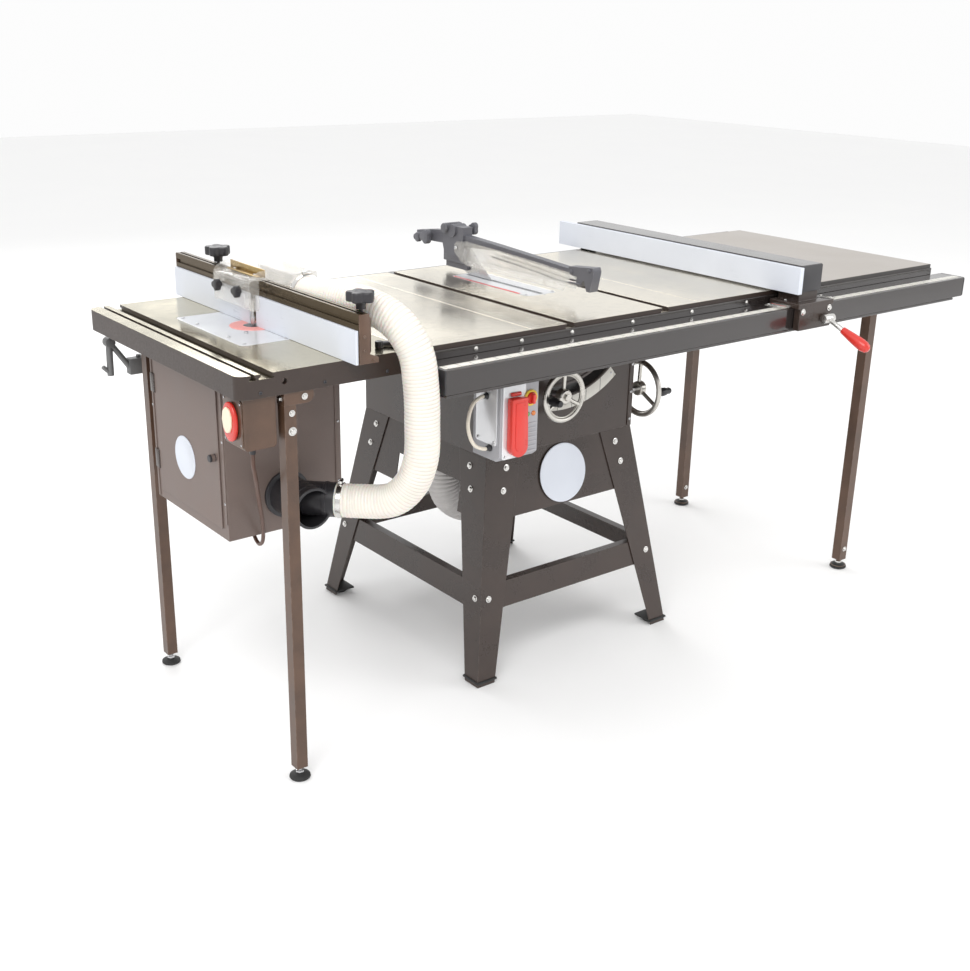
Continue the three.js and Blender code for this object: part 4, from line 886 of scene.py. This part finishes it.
def guard():
    drum = Build()
    for i in range(9):
        drum.rod((BLADE_X - 26 + 5.8 * i, 626, 982), (BLADE_X - 22.6 + 5.8 * i, 626, 982), 12.5, 28, 0.8)
    drum.rod((BLADE_X - 28, 626, 982), (BLADE_X + 28, 626, 982), 11, 28, 0.8)
    drum.prism("X", BLADE_X + 22, BLADE_X + 34, lobed(572, 984, 16, 4, 3, 40), 2.0)
    drum.rod((BLADE_X + 12, 572, 984), (BLADE_X + 23, 572, 984), 4.5, 16)
    drum.prism("X", BLADE_X - 33, BLADE_X - 18, lobed(704, 950, 19, 5, 3, 40), 2.2)
    drum.prism("X", BLADE_X - 30, BLADE_X - 18, lobed(742, 944, 13, 3, 3, 40), 2.0)
    drum.rod((BLADE_X - 20, 704, 950), (BLADE_X + 20, 704, 950), 5, 16)
    drum.prism("Y", 575, 636, [(BLADE_X - 15.6, 905), (BLADE_X + 15.6, 905), (BLADE_X + 13, 958),
                               (BLADE_X - 13, 958)], 1.5)
    drum.done("guard_hardware", "carriage", "guard_plastic")
    rod = spline([(BLADE_X - GUARD_ROD, y, z) for y, z in (
        (440, 936), (300, 928), (180, 920), (118, 922))], 8)
    nose = Build().sweep(rod, 2.2, 12).sweep([p + Vector((2 * GUARD_ROD, 0, 0)) for p in rod], 2.2, 12)
    nose.rod((BLADE_X - 16, 94, 956), (BLADE_X + 16, 94, 956), 4, 16).rod(
        (BLADE_X - 15, 154, 945), (BLADE_X + 15, 154, 945), 5, 16)
    nose.done("guard_nose", "carriage", "guard_plastic")
    side = [(172, 899.4), (536, 899.4), (560, 906), (588, 926), (590, 946), (580, 954), (540, 959),
            (420, 956), (260, 949), (154, 943), (152, 925)]
    for name, sign in (("left", -1), ("right", 1)):
        xs = sorted((BLADE_X + sign * 17.2, BLADE_X + sign * 19.8))
        shell = Build().prism("X", *xs, side, 0.5)
        for y in (230, 330, 430):
            ribs = sorted((BLADE_X + sign * 19.6, BLADE_X + sign * 20.8))
            shell.prism("X", *ribs, [(y, 903), (y + 4, 903), (y + 37, 938), (y + 33, 938)], 0.3)
        shell.done("guard_shell_" + name, "shield_" + name, "clear", "guard_shield_" + name)
        Build().screw((BLADE_X + sign * 19.8, 582, 938), (sign, 0, 0), 5).done(
            "guard_pivot_" + name, "shield_" + name, "steel")


# ------------------------------------------------------------------ handwheels
def handwheel(centre, along, radius, handle, body, node):
    """Dished rim, three flat spokes, a hub with a nut, and a turned crank handle."""
    centre, along = Vector(centre), Vector(along).normalized()
    wheel = Build().ring(centre, along, radius - 7, 6.6, 72, 16)
    wheel.ring(centre + along * 2.0, along, radius - 14, 1.6, 72, 8)
    up = Vector((0, 0, 1))
    side = along.cross(up)
    for i in range(3):
        turn = math.pi / 2 + 2 * math.pi * i / 3
        spoke = side * math.cos(turn) + up * math.sin(turn)
        flat = spline([centre + spoke * 10 - along * 3, centre + spoke * radius * 0.45 - along * 2,
                       centre + spoke * (radius - 7)], 4)
        wheel.sweep(flat, 5.0, 14)
    wheel.lathe(centre - along * 12, along, [(8, 0), (17, 0), (18.5, 4), (18.5, 18), (15, 22), (8, 22)],
                40, 0.8)
    wheel.lathe(centre + along * 9, along, [(9, 0), (9, 7), (5, 8)], 6, 0.4)
    wheel.done(node + "_wheel", body, "cast_silver")
    turned = [(0, 0), (6, 0), (7, 3), (9.5, 8), (11, 16), (10, 26), (7.5, 33), (8.5, 38), (7, 42.4),
              (0, 43.6)]
    Build().lathe(centre + side * handle + along * 4, along, turned, 28).done(
        node + "_grip", body, "black_plastic")


WHEEL = (520.18, 660.34)  # X and Z of the height wheel's shaft
TILT_SHAFT = (205, 613)  # Y and Z


def wheels():
    centre = Vector((WHEEL[0], 132, WHEEL[1]))
    Build().rod(centre + Vector((0, 8, 0)), centre + Vector((0, 73.5, 0)), 7, 24).done(
        "elevation_shaft", "elevation_wheel", "steel", "elevation_handwheel")
    handwheel(centre, FRONT, 64, 50, "elevation_wheel", "elevation")
    knob = Vector((841, *TILT_SHAFT))
    Build().rod(knob + Vector((-8, 0, 0)), knob + Vector((-128, 0, 0)), 7, 24).done(
        "tilt_shaft", "tilt_wheel", "steel", "tilt_handwheel")
    handwheel(knob, X, 75, 60, "tilt_wheel", "tilt")


for make in (saw_tops, rails, extension_legs, rip_fence, guard, wheels):
    make()


# ------------------------------------------------------------------ cabinet, switch and motor
def band_points(inner, outer, start, stop, steps=24):
    """An annulus sector about the tilt line, angles in degrees from straight down, towards +X."""
    points = []
    for r, first, last in ((outer, start, stop), (inner, stop, start)):
        for i in range(steps + 1):
            a = math.radians(first + (last - first) * i / steps)
            points.append((BLADE_X + r * math.sin(a), TOP - r * math.cos(a)))
    return points


def cabinet():
    Build().prism("Y", 176.2, 177.8, band_points(233, 262, -12, 40), 0.3).done(
        "tilt_scale", "frame", "dial")
    trim = Build().prism("Y", 175.8, 177.9, band_points(229.5, 233.5, -14.5, 40), 0.4)
    trim.prism("Y", 175.8, 177.9, band_points(196, 202, -14.5, 40), 0.4)
    for x0, x1 in ((330.6, 344), (775, 788.4)):
        trim.box(x0, x1, 175.6, 178.2, 533, 826, 0.8)
    trim.box(344, 775, 175.6, 178.2, 815, 826, 0.8)
    for i in range(9):
        trim.box(788.8, 791.6, 330 + 34 * i, 352 + 34 * i, 700, 706, 0.9)
        trim.box(788.8, 791.6, 330 + 34 * i, 352 + 34 * i, 722, 728, 0.9)
    trim.done("cabinet_trim", "frame", "paint")
    screws = Build()
    for x in (337, 782):
        for z in (550, 620, 690, 760, 810):
            screws.screw((x, 175.6, z), FRONT, 3.6)
    for y in (200, 300, 420, 540, 660):
        screws.screw((329.9, y, 812), LEFT, 3.6).screw((789.1, y, 812), X, 3.6)
    for x, z in band_points(247, 247, -10, 38, 1)[:2]:
        screws.screw((x, 176.2, z), FRONT, 3)
    screws.done("cabinet_screws", "frame", "steel")
    x = WHEEL[0]
    Build().prism("Y", 168, 170, [(x - 12, 646), (x + 12, 646), (x + 1, 636), (x - 1, 636)], 0.4).done(
        "tilt_pointer", "tilt_unit", "red")
    collar = Build().lathe((789.1, *TILT_SHAFT), X, [(22, 0), (22, 4), (17, 6), (11, 6), (11, 0)], 36,
                           ring=True)
    collar.done("tilt_collar", "frame", "cast_silver")


def saw_switch():
    plate = Build().prism("Y", -34.2, -31.8, rounded(203, 263, 612, 782, 6), 0.8)
    plate.prism("X", 195.6, 198.3, rounded(-22, 48, 640, 776, 7), 0.8)
    plate.done("switch_plate", "frame", "plate")
    ribs = Build()
    for i in range(7):
        ribs.box(267, 296, -34.4, -31.7, 618 + 10 * i, 622 + 10 * i, 0.8)
    ribs.prism("Z", 787.2, 789.4, rounded(202, 296, -28, 56, 6), 0.8)
    ribs.done("switch_ribs", "frame", "grey_plastic")
    screws = Build()
    for z in (619, 775):
        screws.screw((258, -34.2, z), FRONT, 3).screw((208, -34.2, z), FRONT, 3)
    for y, z in ((-14, 648), (40, 648), (-14, 768), (40, 768)):
        screws.screw((195.6, y, z), LEFT, 3)
    screws.done("switch_screws", "frame", "steel")
    for look, x in (("green", 271), ("amber", 287)):
        lens = [(5.4, 0), (5.4, 1.4), (4.2, 3.2), (2, 4.3), (0, 4.6)]
        Build().lathe((x, -31.9, 702), FRONT, lens, 24).done("switch_light_" + look, "frame", look)
    outline = [(213, 747), (255, 747), *arc(236, 641, 22.6, 0, -180, 20)]
    paddle = Build().prism("Y", -54, -34.4, outline, 3.6, 4)
    paddle.prism("Y", -55.6, -53, [(221, 738), (249, 738), *arc(236, 646, 14.5, 0, -180, 16)], 1.2)
    paddle.rod((222, -37, 753), (246, -37, 753), 4.4, 18)
    paddle.done("stop_paddle_face", "stop_paddle", "red", "saw_switch_paddle")
    Build().lathe((276, -32.2, 738), FRONT, [(17.4, 0), (17.4, 4.4), (15.8, 5.8), (13.2, 5.8), (13.2, 0)],
                  36, ring=True).done("power_bezel", "frame", "yellow")
    knob = Build().lathe((276, -32.6, 738), FRONT, [(0, 0), (12.4, 0), (12.4, 7), (11.4, 8.4), (0, 8.4)], 32)
    knob.box(272.6, 279.4, -49, -40.4, 727.4, 748.6, 1.8, 3)
    knob.done("power_knob_red", "power_knob", "red", "main_power_switch")
    gland = Build()
    for y, z in ((12, 744), (0, 633)):
        gland.lathe((198, y, z), LEFT, [(8, 0), (8, 3), (6, 4), (5, 11), (4.2, 11.2)], 20, 0.3)
    gland.done("cable_glands", "frame", "black_plastic")


def motor():
    x, z, r = 583, 645, 82  # the shaft's line, and the fins' outer radius
    body = Build()
    skin = [(0, 0), (58, 0), (64, 2), (74, 8), (78, 14), (78, 20)]
    skin += [(80, 22), (80, 176), (78, 178), (78, 186), (72, 189)]
    skin += [(74, 190), (74, 204), (68, 209), (50, 210), (0, 210)]
    body.lathe((x, 752, z), Y, skin, 64)
    for i in range(40):
        turn = 2 * math.pi * i / 40
        if math.cos(turn) > 0.86:
            continue
        fin = Matrix.Translation((x, 0, z)) @ Matrix.Rotation(-turn, 4, "Y")
        body.box(79, r, 778, 926, -1.2, 1.2, 0.4, 1, fin)
    body.box(x + 70, x + 111, 798, 886, z - 33, z + 33, 3, 3)
    body.rod((x - 60, 790, z + 50), (x - 60, 900, z + 50), 20, 32, 3)
    body.done("motor_body", "tilt_unit", "paint", "saw_motor", slot="aluminium")
    # dark strips on the closed end bell: painted shade standing for the vent openings, whose metal is
    # aluminium
    vent_shadows = Build()
    for i in range(12):
        turn = Matrix.Translation((x, 0, z)) @ Matrix.Rotation(2 * math.pi * i / 12, 4, "Y")
        vent_shadows.box(24, 60, 961.4, 963.2, -3, 3, 0.5, 1, turn)
    vent_shadows.done("motor_vent_shadows", "tilt_unit", "rubber", slot="aluminium")
    bolts = Build()
    for y in (804, 880):
        for dz in (-27, 27):
            bolts.screw((x + 111, y, z + dz), X, 3)
    bolts.done("motor_screws", "tilt_unit", "steel")


# ------------------------------------------------------------------ stand
SPLAY_X, SPLAY_Y, STAND_Z = 82, 89, 530  # how far a leg spreads between the stand's top and floor
STAND_X, STAND_Y = (330, 789), (178, 684)  # the stand's plan at its top
FOOT_INSET = 27


def skin(side, along, z, out=0.0):
    """A place on the stand's skin, and the skin's outward direction there.

    side names the face; along is its other plan coordinate, measured from the near corner."""
    t = 1 - z / STAND_Z
    x0, x1 = STAND_X[0] - SPLAY_X * t, STAND_X[1] + SPLAY_X * t
    y0, y1 = STAND_Y[0] - SPLAY_Y * t, STAND_Y[1] + SPLAY_Y * t
    tilt_x, tilt_y = SPLAY_X / STAND_Z, SPLAY_Y / STAND_Z
    spots = {
        "front_left": ((x0 + along, y0, z), (0, -1, tilt_y)),
        "front_right": ((x1 - along, y0, z), (0, -1, tilt_y)),
        "rear_left": ((x0 + along, y1, z), (0, 1, tilt_y)),
        "rear_right": ((x1 - along, y1, z), (0, 1, tilt_y)),
        "left_front": ((x0, y0 + along, z), (-1, 0, tilt_x)),
        "left_rear": ((x0, y1 - along, z), (-1, 0, tilt_x)),
        "right_front": ((x1, y0 + along, z), (1, 0, tilt_x)),
        "right_rear": ((x1, y1 - along, z), (1, 0, tilt_x)),
    }
    place, outward = spots[side]
    outward = Vector(outward).normalized()
    return Vector(place) + outward * out, outward


SIDES = ("front_left", "front_right", "rear_left", "rear_right",
         "left_front", "left_rear", "right_front", "right_rear")


def stand():
    bolts = Build()
    for side in SIDES:
        for along, z in ((60, 500), (54, 448), (22, 204)):
            bolts.bolt(*skin(side, along, z, 0.1), 5.6)
    bolts.done("stand_bolts", "frame", "bright")
    feet = Build()
    for x in (STAND_X[0] - SPLAY_X + FOOT_INSET, STAND_X[1] + SPLAY_X - FOOT_INSET):
        for y in (STAND_Y[0] - SPLAY_Y + FOOT_INSET, STAND_Y[1] + SPLAY_Y - FOOT_INSET):
            feet.lathe((x, y, 0.1), Z, [(0, 0), (19, 0), (21, 2), (20, 8), (12, 11), (0, 11)], 32)
            feet.box(x - 29.5, x + 29.5, y - 29.5, y + 29.5, 9, 14, 1.5)
    feet.done("stand_feet", "frame", "rubber")
    centre, outward = skin("front_left", 238, 456, 0.4)
    Build().lathe(centre, outward, [(72, 0), (72, 1.2), (71, 2), (67, 2), (66, 1.4), (0, 1.4)], 96).done(
        "apron_badge", "frame", "white")


for make in (cabinet, saw_switch, motor, stand):
    make()


# ------------------------------------------------------------------ floor and light
def floor():
    g = Graph("floor")
    g.put(g.shader.inputs["Base Color"], g.mix(g.noise(1.5), (0.90, 0.90, 0.90), (0.92, 0.92, 0.915)))
    g.put(g.shader.inputs["Roughness"], g.remap(g.noise(30.0), 0.3, 0.7, 0.6, 0.75))
    data = bpy.data.meshes.new("floor")
    reach = 14.0
    data.from_pydata([(-reach, -reach, -0.0005), (reach, -reach, -0.0005), (reach, reach, -0.0005),
                      (-reach, reach, -0.0005)], [], [(0, 1, 2, 3)])
    data.materials.append(g.material)
    made = bpy.data.objects.new("floor", data)
    bpy.context.scene.collection.objects.link(made)


def light(name, place, target, power, size):
    data = bpy.data.lights.new(name, "AREA")
    data.energy = power
    data.size = size
    made = bpy.data.objects.new(name, data)
    bpy.context.scene.collection.objects.link(made)
    aim = Vector(target) - Vector(place)
    made.matrix_world = Matrix.Translation(place) @ aim.to_track_quat("-Z", "Y").to_matrix().to_4x4()


def studio():
    world = bpy.data.worlds.new("studio")
    world.use_nodes = True
    tree = world.node_tree
    background = tree.nodes["Background"]
    place = tree.nodes.new("ShaderNodeTexCoord")
    split = tree.nodes.new("ShaderNodeSeparateXYZ")
    ramp = tree.nodes.new("ShaderNodeValToRGB")
    ramp.color_ramp.elements[0].color = (0.98, 0.98, 0.98, 1)
    ramp.color_ramp.elements[0].position = 0.0
    ramp.color_ramp.elements[1].color = (1.0, 1.0, 1.0, 1)
    ramp.color_ramp.elements[1].position = 0.8
    tree.links.new(place.outputs["Generated"], split.inputs[0])
    tree.links.new(split.outputs[2], ramp.inputs[0])
    tree.links.new(ramp.outputs[0], background.inputs[0])
    background.inputs[1].default_value = 1.0
    bpy.context.scene.world = world
    light("key", (-3.2, -2.6, 4.2), (0, 0, 0.6), 130, 3.0)
    light("fill", (3.4, -3.4, 2.6), (0, 0, 0.5), 50, 3.0)
    light("back", (0.5, 4.0, 3.6), (0, 0, 0.7), 80, 3.0)
    bpy.context.scene.view_settings.view_transform = "Standard"


floor()
studio()
